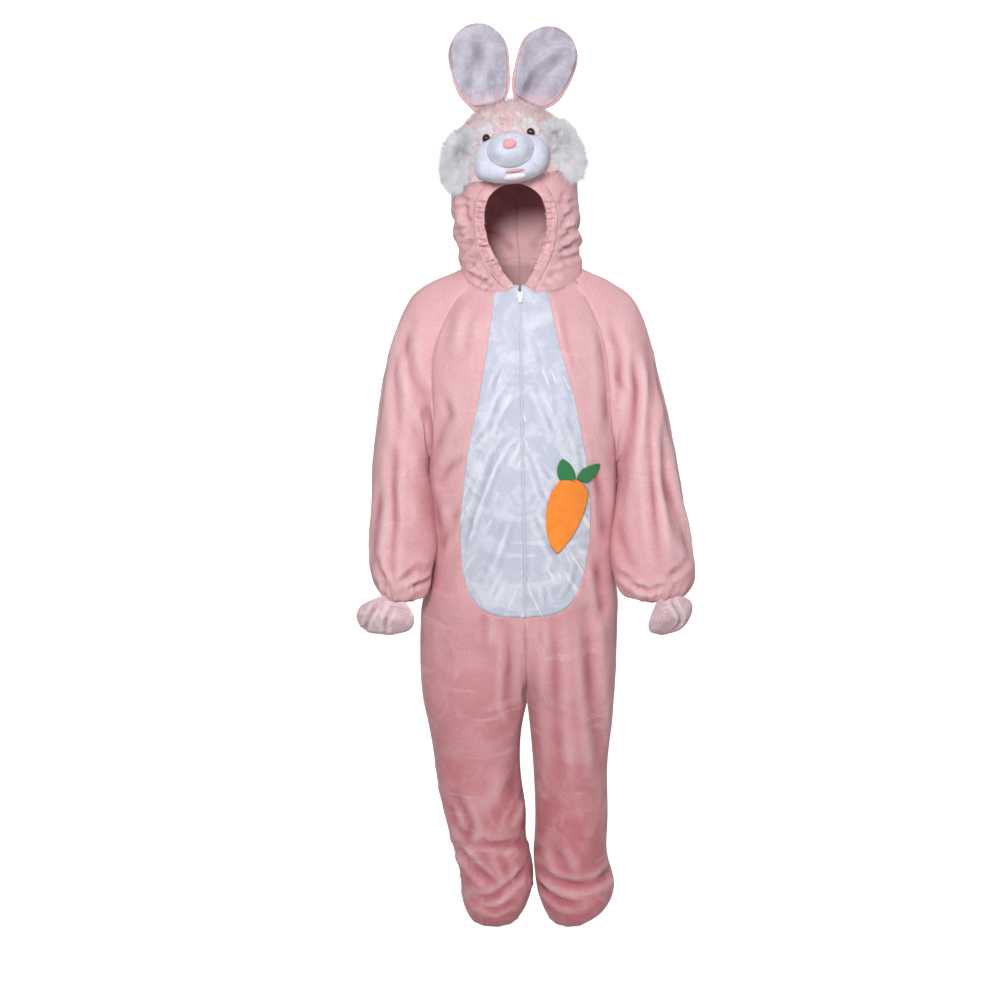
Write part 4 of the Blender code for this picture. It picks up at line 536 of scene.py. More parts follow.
def moulded(name, dyed, rough, coat=0.0, scuffs=0.10):
    """Moulded plastic with faint scuffs in its gloss."""
    material, tree, shader = new_material(name)
    place = object_place(tree)
    scuff = ranged(tree, noise(tree, place, 420.0, 4.0, 0.6), 0.3, 0.7, max(rough - scuffs * 0.5, 0.02),
                   rough + scuffs)
    clouds = ranged(tree, noise(tree, place, 90.0, 2.0), 0.3, 0.7, 0.94, 1.0)
    wire(shader, {"Base Color": shaded(tree, dyed, clouds), "Roughness": scuff, "Coat Weight": coat,
                  "Coat Roughness": 0.05})
    return material


# Cloth helpers

def new_object(name, bm):
    """An object in the scene made from a bmesh, which it frees."""
    mesh = bpy.data.meshes.new(name)
    bm.to_mesh(mesh)
    bm.free()
    mesh.shade_smooth()
    made = bpy.data.objects.new(name, mesh)
    bpy.context.scene.collection.objects.link(made)
    return made


def softened(node, name, levels, corner=62.0):
    """A finer, rounder copy of a construction node, joined to quads. Its edges stay sharp where the cloth
    is cut, marked as the seam."""
    bm = bmesh.new()
    bm.from_mesh(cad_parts[node].data)
    bmesh.ops.remove_doubles(bm, verts=bm.verts[:], dist=1e-6)
    bmesh.ops.join_triangles(bm, faces=bm.faces[:], angle_face_threshold=math.radians(80),
                             angle_shape_threshold=math.radians(180))
    sharp = bm.edges.layers.float.new("crease_edge")
    seam = bm.verts.layers.float.new("seam")
    for edge in bm.edges:
        if edge.is_manifold and edge.calc_face_angle() > math.radians(corner):
            edge[sharp] = 1.0
            for vert in edge.verts:
                vert[seam] = 1.0
    piece = new_object(name, bm)
    finer = piece.modifiers.new("finer", "SUBSURF")
    finer.levels = finer.render_levels = levels
    settle(piece)
    return piece


def settle(piece):
    """Applies a piece's modifiers."""
    graph = bpy.context.evaluated_depsgraph_get()
    graph.update()
    mesh = bpy.data.meshes.new_from_object(piece.evaluated_get(graph), preserve_all_data_layers=True,
                                           depsgraph=graph)
    mesh.name = piece.name
    piece.modifiers.clear()
    piece.data = mesh
    mesh.shade_smooth()


def read(mesh, data, field, width):
    values = np.empty(len(mesh.vertices) * width)
    data.foreach_get(field, values)
    return values.reshape(-1, 3) if width == 3 else values


def points_of(mesh):
    return read(mesh, mesh.vertices, "co", 3)


def normals_of(mesh):
    return read(mesh, mesh.vertex_normals, "vector", 3)


def seam_of(mesh):
    return read(mesh, mesh.attributes["seam"].data, "value", 1)


def place_points(mesh, points):
    mesh.vertices.foreach_set("co", points.ravel())
    mesh.update()


def write(mesh, name, values):
    """Stores a value or a vector for each point."""
    kind, field = ("FLOAT_VECTOR", "vector") if values.ndim == 2 else ("FLOAT", "value")
    layer = mesh.attributes.get(name) or mesh.attributes.new(name, kind, "POINT")
    layer.data.foreach_set(field, values.astype(np.float32).ravel())


def smooth_share(value, low, high):
    t = np.clip((value - low) / (high - low), 0, 1)
    return t * t * (3 - 2 * t)


def lumps(points, size, seed):
    """Slow, uneven swells about one size, from -1 to 1."""
    chance = np.random.default_rng(seed)
    total = np.zeros(len(points))
    for _ in range(7):
        way = chance.normal(size=3)
        way /= np.linalg.norm(way)
        waves = points @ way * (2 * math.pi / size) * chance.uniform(0.7, 1.4)
        total += np.sin(waves + chance.uniform(0, 6.28))
    return total / 4


# The axis across each side, the axis it faces along, and which way
FACING = {"front": (0, 1, -1), "back": (0, 1, 1), "left": (1, 0, 1), "right": (1, 0, -1)}


def beside_line(points, line):
    """The place on a line that is nearest to each point, how far it is, and its share of the line."""
    joints = np.array(line)
    steps = np.linalg.norm(np.diff(joints, axis=0), axis=1)
    nearest, away, along = np.zeros_like(points), np.full(len(points), 9.0), np.zeros(len(points))
    for start, end, step, passed in zip(joints, joints[1:], steps, np.cumsum(steps) - steps):
        way = (end - start) / step
        t = np.clip((points - start) @ way, 0, step)
        found = start + t[:, None] * way
        far = np.linalg.norm(points - found, axis=1)
        closer = far < away
        nearest[closer], away[closer] = found[closer], far[closer]
        along[closer] = (passed + t[closer]) / steps.sum()
    return nearest, away, along


def crease_shape(points, outward, crease):
    """Trough and shoulders of one crease at each point: its shape, 0 to 1, and its shoulders."""
    side, line, width, _ = crease
    axis, faced, sign = FACING[side]
    facing = smooth_share(outward[:, faced] * sign, 0.05, 0.45)
    _, nearest, along = beside_line(points[:, [axis, 2]], line)
    taper = np.clip(np.minimum(along, 1 - along) * 4 + 0.35, 0, 1)
    uneven = 0.82 + 0.18 * np.sin(along * 9 + line[0][0] * 90)
    trough = np.exp(-(nearest / width) ** 2)
    shoulder = np.exp(-((nearest - 2.1 * width) / (0.9 * width)) ** 2)
    return trough * taper * uneven * facing, shoulder * taper * facing


def reach_into_seams(piece, reach):
    """Moves a panel's cut edges along the cloth by reach, a distance or a function of each place and
    direction."""
    mesh = piece.data
    points, seam = points_of(mesh), seam_of(mesh)
    outward = np.zeros_like(points)
    for face in mesh.polygons:
        corners = list(face.vertices)
        if all(seam[corner] > 0.99 for corner in corners):
            outward[corners] += np.array(face.normal) * face.area
    size = np.linalg.norm(outward, axis=1)
    edge = size > 0
    outward[edge] /= size[edge, None]
    far = reach(points[edge], outward[edge])[:, None] if callable(reach) else reach
    points[edge] += outward[edge] * far
    place_points(mesh, points)


def press(piece, rows, core, ripple, puff, strength=1.0, seed=1, settle_seam=True, full=0.0045):
    """Presses creases into a shell and lets it ripple, the same on both of its sides. core gives the point
    of the hollow's middle that is nearest to each point, full the depth at which a crease gets its whole
    painted shade, or a ridge its whole painted highlight."""
    mesh = piece.data
    points, normals = points_of(mesh), normals_of(mesh)
    outer = np.where(((points - core(points)) * normals).sum(1) >= 0, 1.0, -1.0)
    outward = normals * outer[:, None]
    free = 1 - smooth_share(seam_of(mesh), 0.0, 1.0) if settle_seam else np.ones(len(points))
    depth, fold = np.zeros(len(points)), np.zeros(len(points))
    low, high = points.min(0) - 0.03, points.max(0) + 0.03
    for crease in rows:
        axes, line = [FACING[crease[0]][0], 2], np.array(crease[1])
        if (line.max(0) < low[axes]).any() or (line.min(0) > high[axes]).any():
            continue
        trough, shoulder = crease_shape(points, outward, crease)
        depth += crease[3] * (trough - 0.30 * shoulder)
        # fold: painted shade in a crease's trough and painted highlight on its shoulders, the reverse for a
        # ridge; none for the wide swells, and less at the seams
        weight = np.sign(crease[3]) * min(abs(crease[3]) / full, 1.0)
        fold += weight * (trough ** 2.2 - 0.55 * shoulder) * (crease[2] < 0.03)
    swell = ripple * (lumps(points, 0.11, seed) + 0.45 * lumps(points, 0.045, seed + 1))
    move = (swell - depth * strength) * free + np.where(outer > 0, puff * free, 0.0)
    place_points(mesh, points + outward * move[:, None])
    write(mesh, "fold", np.clip(fold * (0.35 + 0.65 * free), -1, 1))


def finish(piece, node, material):
    """Gives a piece its material, lets it ride on the suit, and hides the node it stands for."""
    piece.data.materials.clear()
    piece.data.materials.append(material)
    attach(piece, SUIT)
    if node:
        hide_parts(node)
    return piece


def finish_sheet(piece, node, material):
    """Finishes a panel of cloth."""
    finish(piece, node, material)


def torso_core(points):
    inside = points * [0.0, 0.0, 1.0]
    legs = smooth_share(-points[:, 2], 0.72, 0.86)
    inside[:, 0] = np.where(points[:, 0] > CROTCH_X, LEG_MIDDLES[1], LEG_MIDDLES[0]) * legs
    return inside


def sleeve_core(sign):
    middle = [(sign * x, y, z) for x, y, z in SLEEVE_MIDDLE]
    return lambda points: beside_line(points, middle)[0]


def hood_core(points):
    inside = points * [0.0, 0.0, 1.0]
    inside[:, 0] = HOOD_MIDDLE_X
    inside[:, 2] = np.minimum(inside[:, 2], HOOD_MIDDLE_TOP)
    return inside


def around(centre):
    """A core for pieces that are round one point."""
    return lambda points: np.repeat(centre[None, :], len(points), 0)


def behind(points):
    """A core for pieces that only bend to and fro."""
    return points + [0.0, 1.0, 0.0]


def wrist_gathers(sign, spacing, seed):
    """Short creases above a cuff, on its front and back, that draw together downwards."""
    chance = np.random.default_rng(seed)
    high, low = CUFF_HEIGHTS
    return [(side, [(sign * across, high), (sign * (across * 0.6 + CUFF_MIDDLE * 0.4), low)],
             0.0046 * chance.uniform(0.8, 1.2), 0.0038 * chance.uniform(0.7, 1.3))
            for side in ("front", "back") for across in np.arange(*CUFF_ACROSS, spacing)]


def spots_along(line, first, spacing):
    """Places spaced along each step of a stitch line, with the line's direction there."""
    joints = np.array(line)
    for start, end in zip(joints, joints[1:]):
        step = np.linalg.norm(end - start)
        way = (end - start) / step
        for passed in np.arange(first * spacing, step, spacing):
            yield start + way * passed, way


def puckers(line, spacing, reach, seed, width, depth):
    """Short uneven puckers square to a stitch line, on the front."""
    chance = np.random.default_rng(seed)
    made = []
    for spot, way in spots_along(line, 0.4, spacing):
        outward = np.array([way[1], -way[0]]) * (-1 if way[1] * spot[0] < 0 else 1)
        length = reach * chance.uniform(0.5, 1.3)
        lean = [0.0, chance.uniform(-0.35, 0.15)]
        ends = [spot - outward * 0.004, spot + (outward + lean) * length]
        made.append(("front", ends, width * chance.uniform(0.8, 1.3), depth * chance.uniform(0.6, 1.2)))
    return made


def stitches(name, piece, line, material):
    """Dashes of thread laid on a piece along a line, as it is seen from the front."""
    tree = BVHTree.FromObject(piece, bpy.context.evaluated_depsgraph_get())
    bm = bmesh.new()
    size = Matrix.Diagonal((STITCH_LENGTH, STITCH_WIDTH, STITCH_WIDTH, 1.0))
    for place, way in spots_along(line, 0.5, STITCH_SPACING):
        way = Vector((way[0], 0.0, way[1]))
        spot, normal, _, _ = tree.ray_cast(Vector((place[0], -1.0, place[1])), Vector((0, 1, 0)))
        if spot:
            along = (way - normal * way.dot(normal)).normalized()
            turn = Matrix((along, normal.cross(along), normal)).transposed().to_4x4()
            laid = Matrix.Translation(spot + normal * STITCH_WIDTH * 0.2) @ turn @ size
            bmesh.ops.create_icosphere(bm, subdivisions=1, radius=0.5, matrix=laid)
    return finish(new_object(name, bm), None, material)


def pad_piece(node, levels, material, slot, fill, corner=62.0, rows=(), ripple=0.0004, puff=0.0, seed=50,
              core=around(HEAD_CENTRE), widen=0.0, **settings):
    """A stuffed piece: rounded and a little uneven."""
    piece = softened(node, "pad_" + node, levels, corner)
    if widen:
        reach_into_seams(piece, widen)
    press(piece, rows, core, ripple, puff, seed=seed, settle_seam=False, **settings)
    finish(piece, node, material)
    return piece


# Pile and fur

def tuft(segments, width, bend):
    """One tapered, three-sided tuft, a unit long, that bends to one side."""
    bm = bmesh.new()
    bmesh.ops.create_cone(bm, cap_ends=False, segments=3, radius1=width, radius2=width * 0.12, depth=1.0)
    bmesh.ops.translate(bm, vec=(0, 0, 0.5), verts=bm.verts[:])
    for cut in range(1, segments):
        bmesh.ops.bisect_plane(bm, geom=bm.verts[:] + bm.edges[:] + bm.faces[:],
                               plane_co=(0, 0, cut / segments), plane_no=(0, 0, 1))
    tip = bm.verts.layers.float.new("tip")
    for vert in bm.verts:
        vert[tip] = vert.co.z
        vert.co.x += bend * vert.co.z ** 2
    return new_object("tuft", bm)


def fur_tree(name, strand, material, density, seed, spread):
    """Geometry nodes that root tufts on a surface, combed along its attributes comb and length."""
    tree = bpy.data.node_groups.new(name, "GeometryNodeTree")
    for way in ("INPUT", "OUTPUT"):
        tree.interface.new_socket("Geometry", in_out=way, socket_type="NodeSocketGeometry")
    given, out = tree.nodes.new("NodeGroupInput"), tree.nodes.new("NodeGroupOutput")

    def stored(label, kind="FLOAT"):
        return add(tree, "GeometryNodeInputNamedAttribute", {"Name": label}, data_type=kind).outputs[0]

    def chance(low, high, step):
        return add(tree, "FunctionNodeRandomValue", {2: low, 3: high, "Seed": seed + step},
                   data_type="FLOAT").outputs[1]

    spots = add(tree, "GeometryNodeDistributePointsOnFaces", {
        "Mesh": given.outputs[0], "Density": times(tree, stored("rooted"), density), "Seed": seed})
    stray = add(tree, "FunctionNodeRandomValue", {"Min": (-spread,) * 3, "Max": (spread,) * 3,
                                                  "Seed": seed + 1}, data_type="FLOAT_VECTOR").outputs[0]
    way = vectors(tree, "ADD", {0: stored("comb", "FLOAT_VECTOR"), 1: stray})
    aligned = add(tree, "FunctionNodeAlignRotationToVector", {"Vector": way}, axis="Z").outputs[0]
    twist = add(tree, "FunctionNodeAxisAngleToRotation", {
        "Axis": (0, 0, 1), "Angle": chance(0.0, 6.283, 2)}).outputs[0]
    turned = add(tree, "FunctionNodeRotateRotation", {"Rotation": aligned, "Rotate By": twist},
                 rotation_space="LOCAL").outputs[0]
    length = times(tree, stored("length"), chance(0.62, 1.12, 3))
    wide = times(tree, chance(0.75, 1.25, 4), length)
    size = add(tree, "ShaderNodeCombineXYZ", {"X": wide, "Y": wide, "Z": length}).outputs[0]
    shape = add(tree, "GeometryNodeObjectInfo", {"Object": strand}).outputs["Geometry"]
    placed = add(tree, "GeometryNodeInstanceOnPoints", {
        "Points": spots.outputs["Points"], "Instance": shape, "Rotation": turned, "Scale": size}).outputs[0]
    toned = add(tree, "GeometryNodeStoreNamedAttribute", {
        "Geometry": placed, "Name": "tone", "Value": chance(0.0, 1.0, 5)}, data_type="FLOAT",
        domain="INSTANCE").outputs[0]
    real = add(tree, "GeometryNodeRealizeInstances", {"Geometry": toned}).outputs[0]
    dyed = add(tree, "GeometryNodeSetMaterial", {"Geometry": real, "Material": material}).outputs[0]
    wire(out, {0: dyed})
    return tree


def grow(name, base, strand, material, density, seed, spread):
    """A piece of tufts rooted on a base piece, whose comb, length, rooted and outer are set."""
    coat = bpy.data.objects.new(name, base.data.copy())
    bpy.context.scene.collection.objects.link(coat)
    nodes = coat.modifiers.new("tufts", "NODES")
    nodes.node_group = fur_tree(name, strand, material, density, seed, spread)
    settle(coat)
    bpy.data.objects.remove(strand)
    return finish(coat, None, material)


def comb_out(mesh, comb, length, rooted, lock_size, fluff, outer=None):
    """Stores on a base how its tufts lie, and the normals they are shaded with: fluff turns these to the
    front, and at the back to the back, as tufts that part there do."""
    points, normals = points_of(mesh), normals_of(mesh)
    every = np.ones(len(points))
    forward = np.tanh(normals[:, 1:2] * -3)
    write(mesh, "surface", normals - forward * [0.0, fluff, 0.0] + [0.0, 0.0, fluff * 0.3])
    write(mesh, "lock", 0.5 + 0.5 * lumps(points, lock_size, 97))
    write(mesh, "comb", comb / np.maximum(np.linalg.norm(comb, axis=1), 1e-6)[:, None])
    write(mesh, "length", length * every)
    write(mesh, "rooted", rooted * every)
    # outer holds where the tips get painted shade; everywhere when not given
    write(mesh, "outer", every if outer is None else outer)


def faces_out(mesh):
    """Which points of a head piece are on its outer side."""
    return ((points_of(mesh) - HEAD_CENTRE) * normals_of(mesh)).sum(1) > 0


# Operators

class BunnyOperator:
    """What the steps share: sizes, colours of the cloth and of painted light and shade, and how far each
    panel reaches into its seams.
    """
    bl_options = {"REGISTER", "UNDO"}

    @property
    def sizes(self):
        return bpy.context.scene.bunny_sizes

    @property
    def colours(self):
        return bpy.context.scene.bunny_colours

    def by_raglan_top(self, points):
        x, z = RAGLAN_TOP
        return np.hypot(np.abs(points[:, 0]) - x, points[:, 2] - z) < RAGLAN_ROUND

    def suit_reach(self, points, outward):
        at_neck = (outward[:, 2] > 0.4) & (points[:, 2] > NECK_HEIGHT)
        reach = np.where(at_neck, self.sizes.neck_tuck, self.sizes.seam_close)
        return np.where(self.by_raglan_top(points), RAGLAN_REACH, reach)

    def hood_reach(self, points, outward):
        reach = np.where(outward[:, 2] < -0.4, self.sizes.neck_tuck, self.sizes.seam_close)
        return np.where(self.by_raglan_top(points) & (outward[:, 2] < -0.2), RAGLAN_REACH, reach)

    def belly_reach(self, points, outward):
        inner = (np.abs(outward[:, 0]) > 0.7) & (np.abs(points[:, 0]) < 0.02)
        return np.where(inner & (points[:, 2] < ZIP_END), BELOW_ZIP_REACH, self.suit_reach(points, outward))

    def pink_plush(self):
        colours = self.colours
        # Painted light: the suit plush turns lighter towards the top, between the last setting's heights
        return plush("pink plush", colours.pink, colours.pink_lit, colours.pink_thread_and_shade, colours.pink_grazing_shade, spread=0.22,
                     crushed=0.20, packed=0.40, edging=0.25, bump=0.35,
                     height_tint_and_light=(-1.30, -0.20, 0.70, colours.pink_lit))

    def panel(self, node, levels, reach, rows, core, strength, ripple=1.0, **settings):
        """One cut panel of cloth, let into its seams and creased."""
        piece = softened(node, "plush_" + node, levels)
        reach_into_seams(piece, reach)
        press(piece, rows, core, self.sizes.ripple * ripple, self.sizes.puff, strength, **settings)
        return piece


class BUNNY_OT_stage(BunnyOperator, bpy.types.Operator):
    """Floor, studio lights and camera"""
    bl_idname = "bunny.stage"
    bl_label = "Stage"

    def execute(self, context):
        self.floor()
        world = bpy.data.worlds.new("studio")
        world.use_nodes = True
        sky = world.node_tree
        seen = add(sky, "ShaderNodeLightPath").outputs["Is Camera Ray"]
        wire(sky.nodes["Background"], {
            "Color": (1.0, 1.0, 1.0, 1.0), "Strength": maths(sky, "ADD", times(sky, seen, 0.74), 0.26)})
        context.scene.world = world
        # Each light: its place, what it points at, its width in metres and its power in watts
        lights = [
            ("key", (-0.40, -2.5, 0.90), (0, 0, -0.30), 0.7, 58.0),
            ("fill", (2.2, -2.2, 0.5), (0, 0, -0.5), 1.4, 12.0),
            ("backdrop", (0.4, 2.0, 1.7), (0, 1.5, -0.3), 2.0, 30.0),
            ("behind left", (1.9, 2.0, 0.9), (0, 0, -0.3), 1.6, 14.0),
            ("behind right", (-1.9, 2.0, 0.9), (0, 0, -0.3), 1.6, 14.0),
        ]
        for name, place, target, size, power in lights:
            light = bpy.data.objects.new(name, bpy.data.lights.new(name, "AREA"))
            light.data.shape = "DISK"
            light.data.size = size
            light.data.energy = power
            light.location = place
            light.rotation_euler = (Vector(target) - Vector(place)).to_track_quat("-Z", "Y").to_euler()
            context.scene.collection.objects.link(light)
        camera = bpy.data.objects.new("camera", bpy.data.cameras.new("camera"))
        camera.data.sensor_width = 36.0
        camera.data.lens = 57.1
        camera.data.shift_x = -0.023
        camera.location = (0.0, -3.0, 0.14)
        camera.rotation_euler = (math.radians(90 - 11.5), 0.0, 0.0)
        context.scene.collection.objects.link(camera)
        context.scene.camera = camera
        context.scene.view_settings.view_transform = "Standard"
        return {"FINISHED"}

    def floor(self):
        """A floor that curves up into the backdrop and glows for the camera only."""
        front, back, curve, wide, tall = -6.0, 2.2, 1.2, 8.0, 7.0
        profile = [(front, 0.0)]
        for turn in np.radians(np.linspace(0, 90, 9)):
            profile.append((back + curve * math.sin(turn), curve * (1 - math.cos(turn))))
        profile.append((back + curve, tall))
        bm = bmesh.new()
        path = [bm.verts.new((-wide, y, self.sizes.floor_height + z)) for y, z in profile]
        edges = [bm.edges.new(pair) for pair in zip(path, path[1:])]
        swept = bmesh.ops.extrude_edge_only(bm, edges=edges)["geom"]
        moved = [item for item in swept if isinstance(item, bmesh.types.BMVert)]
        bmesh.ops.translate(bm, vec=(2 * wide, 0, 0), verts=moved)
        bmesh.ops.recalc_face_normals(bm, faces=bm.faces[:])
        floor = new_object("floor", bm)
        material, tree, shader = new_material("pale floor")
        tone = ranged(tree, noise(tree, object_place(tree), 3.0, 2.0), 0.3, 0.7, 0.62, 0.64)
        seen = add(tree, "ShaderNodeLightPath").outputs["Is Camera Ray"]
        wire(shader, {"Base Color": grey(tree, tone), "Roughness": 0.8,
                      "Emission Color": grey(tree, seen), "Emission Strength": 0.78})
        floor.data.materials.append(material)


class BUNNY_OT_suit(BunnyOperator, bpy.types.Operator):
    """Pink front and back panels"""
    bl_idname = "bunny.suit"
    bl_label = "Front and back panels"

    def execute(self, context):
        for face, seed in (("front", 3), ("back", 9)):
            for side in SIDES:
                node = face + "_" + side
                piece = self.panel(node, 2, self.suit_reach, BODY_CREASES + LEG_CREASES, torso_core,
                                   self.sizes.crease_depth, seed=seed)
                finish_sheet(piece, node, self.pink_plush())
        return {"FINISHED"}


class BUNNY_OT_belly(BunnyOperator, bpy.types.Operator):
    """White belly panels with crushed creases"""
    bl_idname = "bunny.belly"
    bl_label = "Belly panels"

    def execute(self, context):
        colours = self.colours
        cloth = plush("belly plush", colours.belly, colours.belly_lit, colours.belly_shade, colours.belly_shade,
                      patch=14.0, crush=75.0, along=11.0, crease=70.0, spread=0.40, crushed=1.0,
                      packed=0.35, fold=0.7, grain=0.08, rough=0.60, sheen=0.25, bump=0.35)
        for side in SIDES:
            node = "belly_" + side
            piece = self.panel(node, 3, self.belly_reach, BELLY_CREASES, torso_core,
                               self.sizes.belly_crush, ripple=0.6, seed=21, full=0.0024)
            finish_sheet(piece, node, cloth)
        return {"FINISHED"}


class BUNNY_OT_sleeves(BunnyOperator, bpy.types.Operator):
    """Raglan sleeves, gathered at the wrist"""
    bl_idname = "bunny.sleeves"
    bl_label = "Sleeves"

    def execute(self, context):
        sizes = self.sizes
        for side, sign in (("left", 1), ("right", -1)):
            node = "sleeve_" + side
            rows = SLEEVE_CREASES[side] + wrist_gathers(sign, sizes.wrist_spacing, 17)
            piece = self.panel(node, 2, self.suit_reach, rows, sleeve_core(sign), sizes.crease_depth,
                               seed=31)
            points = points_of(piece.data)
            points[:, 2] -= np.minimum(points[:, 2] - sizes.cuff_height, 0.0) * CUFF_DRAWN_UP
            place_points(piece.data, points)
            finish_sheet(piece, node, self.pink_plush())
        return {"FINISHED"}


class BUNNY_OT_hood(BunnyOperator, bpy.types.Operator):
    """Hood panels and the gathered casing round the face"""
    bl_idname = "bunny.hood"
    bl_label = "Hood"

    def execute(self, context):
        sizes, colours = self.sizes, self.colours
        thread = moulded("pink thread", colours.pink_thread_and_shade, 0.75)
        for side, seed in (("left", 5), ("right", 8)):
            node = "hood_" + side
            gathers = puckers(STITCH_LINES[side], sizes.pucker_spacing, 0.030, seed, 0.0034, 0.0042)
            piece = self.panel(node, 3, self.hood_reach, HOOD_CREASES + gathers, hood_core,
                               sizes.crease_depth, seed=41, full=0.0075)
            finish_sheet(piece, node, self.pink_plush())
            stitches("stitches_hood_" + side, piece, STITCH_LINES[side], thread)
        between = [0.35 * low + 0.65 * high for low, high in zip(colours.pink, colours.pink_lit)]
        cloth = plush("casing plush", between, colours.pink_lit, colours.pink_thread_and_shade, colours.pink_grazing_shade, patch=30.0,
                      crush=90.0, along=60.0, packed=0.0, spread=0.5)
        node = "face_casing"
        piece = softened(node, "plush_" + node, 3, corner=75)
        reach_into_seams(piece, sizes.seam_close)
        gathers = [gather for side in SIDES for gather in
                   puckers(STITCH_LINES[side], sizes.casing_gathers, -0.020, 15, 0.0022, 0.0046)]
        press(piece, gathers, hood_core, 0.0008, 0.0008, seed=43, settle_seam=False, full=0.020)
        finish_sheet(piece, node, cloth)
        return {"FINISHED"}


class BUNNY_OT_head(BunnyOperator, bpy.types.Operator):
    """Stuffed head: mottled crown, jaw and muzzle"""
    bl_idname = "bunny.head"
    bl_label = "Head"

    def execute(self, context):
        sizes, colours = self.sizes, self.colours
        backing = pile_material("crown backing", colours.crown_pink, colours.crown_white, 70.0)
        pile = pile_material("mottled pile", colours.crown_pink, colours.crown_white, 70.0)
        crown = pad_piece("crown", 2, backing, "pile_mottled", 0.7, ripple=0.0010, seed=51)
        mesh = crown.data
        curl = np.stack([lumps(points_of(mesh), 0.030, seed) for seed in (61, 62, 63)], 1)
        comb_out(mesh, normals_of(mesh) * 0.9 + curl * 0.8, sizes.crown_pile,
                 faces_out(mesh) * (1 - seam_of(mesh) * 0.5), 0.010, 0.3)
        grow("crown_pile", crown, tuft(2, 0.085, 0.75), pile, 165000.0, 7, 0.55)
        # The muzzle plush takes the belly's painted highlight and painted shade; at grazing angles it keeps
        # its own colour
        plain = plush("muzzle plush", colours.muzzle, colours.belly_lit, colours.belly_shade, colours.muzzle,
                      patch=26.0, crush=120.0, along=90.0, spread=0.3, crushed=0.25, packed=0.0)
        jaw = pad_piece("jaw", 2, plain, "plush_white", 0.75, seed=52)
        points = points_of(jaw.data)
        upper = smooth_share(points[:, 2], 0.160, 0.200)
        beside = points[:, 0] - points[:, 0].mean()
        points[:, 0] += beside * (JAW_WIDER * upper + JAW_FULLER_RIGHT * (beside < 0))
        points[:, 1] += upper * smooth_share(points[:, 1], -0.140, -0.112) * JAW_SET_BACK
        points[:, 2] += upper * JAW_LIFT
        place_points(jaw.data, points)
        pad_piece("muzzle", 2, plain, "plush_white", 0.85, seed=53, rows=MUZZLE_CREASES, full=0.0030)
        return {"FINISHED"}


class BUNNY_OT_cheeks(BunnyOperator, bpy.types.Operator):
    """Long fur cheeks"""
    bl_idname = "bunny.cheeks"
    bl_label = "Cheeks"

    def execute(self, context):
        colours = self.colours
        backing = pile_material("fur backing", colours.fur, colours.fur, 30.0)
        fur = pile_material("long fur", colours.fur, [0.90 * part for part in colours.fur], 45.0, colours.fur_tip_shade)
        for side, sign in (("left", 1), ("right", -1)):
            node = "cheek_" + side
            cheek = softened(node, "pad_" + node, 2)
            mesh = cheek.data
            points = points_of(mesh)
            middle = points.mean(0)
            away = points - HEAD_CENTRE
            reach = np.linalg.norm(away, axis=1)
            sunk = np.clip((reach - reach.min()) / CHEEK_SUNK_OVER, 0, 1) * CHEEK_SUNK
            points -= away / reach[:, None] * sunk[:, None]
            place_points(mesh, points)
            from_middle = points - middle
            far = np.linalg.norm(from_middle, axis=1)
            from_middle /= np.maximum(far, 1e-6)[:, None]
            locks = np.stack([lumps(points, 0.017, seed) for seed in (71, 72, 73)], 1)
            # The fur stands out, parts from the cheek's middle, gathers in locks and falls
            comb = normals_of(mesh) * 0.55 + from_middle * 0.60 + locks * 0.42 + [sign * 0.05, 0.0, -0.35]
            edge = np.clip(far / CHEEK_RADIUS, 0, 1)
            uneven = 1 + 0.22 * lumps(points, 0.015, 77)
            # Its tips get painted shade in locks towards the lower, outer edge
            ends = smooth_share(edge, 0.70, 1.05) * np.clip(0.45 + 0.55 * lumps(points, 0.022, 78), 0, 1)
            ends *= smooth_share(from_middle @ [sign * 0.8, 0.0, -0.6], -0.1, 0.6)
            comb_out(mesh, comb, self.sizes.cheek_fur * (0.80 + 0.20 * edge) * uneven, faces_out(mesh),
                     0.012, 1.3, ends)
            finish(cheek, node, backing)
            grow("fur_" + node, cheek, tuft(3, 0.026, 0.30), fur, 1000000.0, 70 + sign, 0.20)
        return {"FINISHED"}


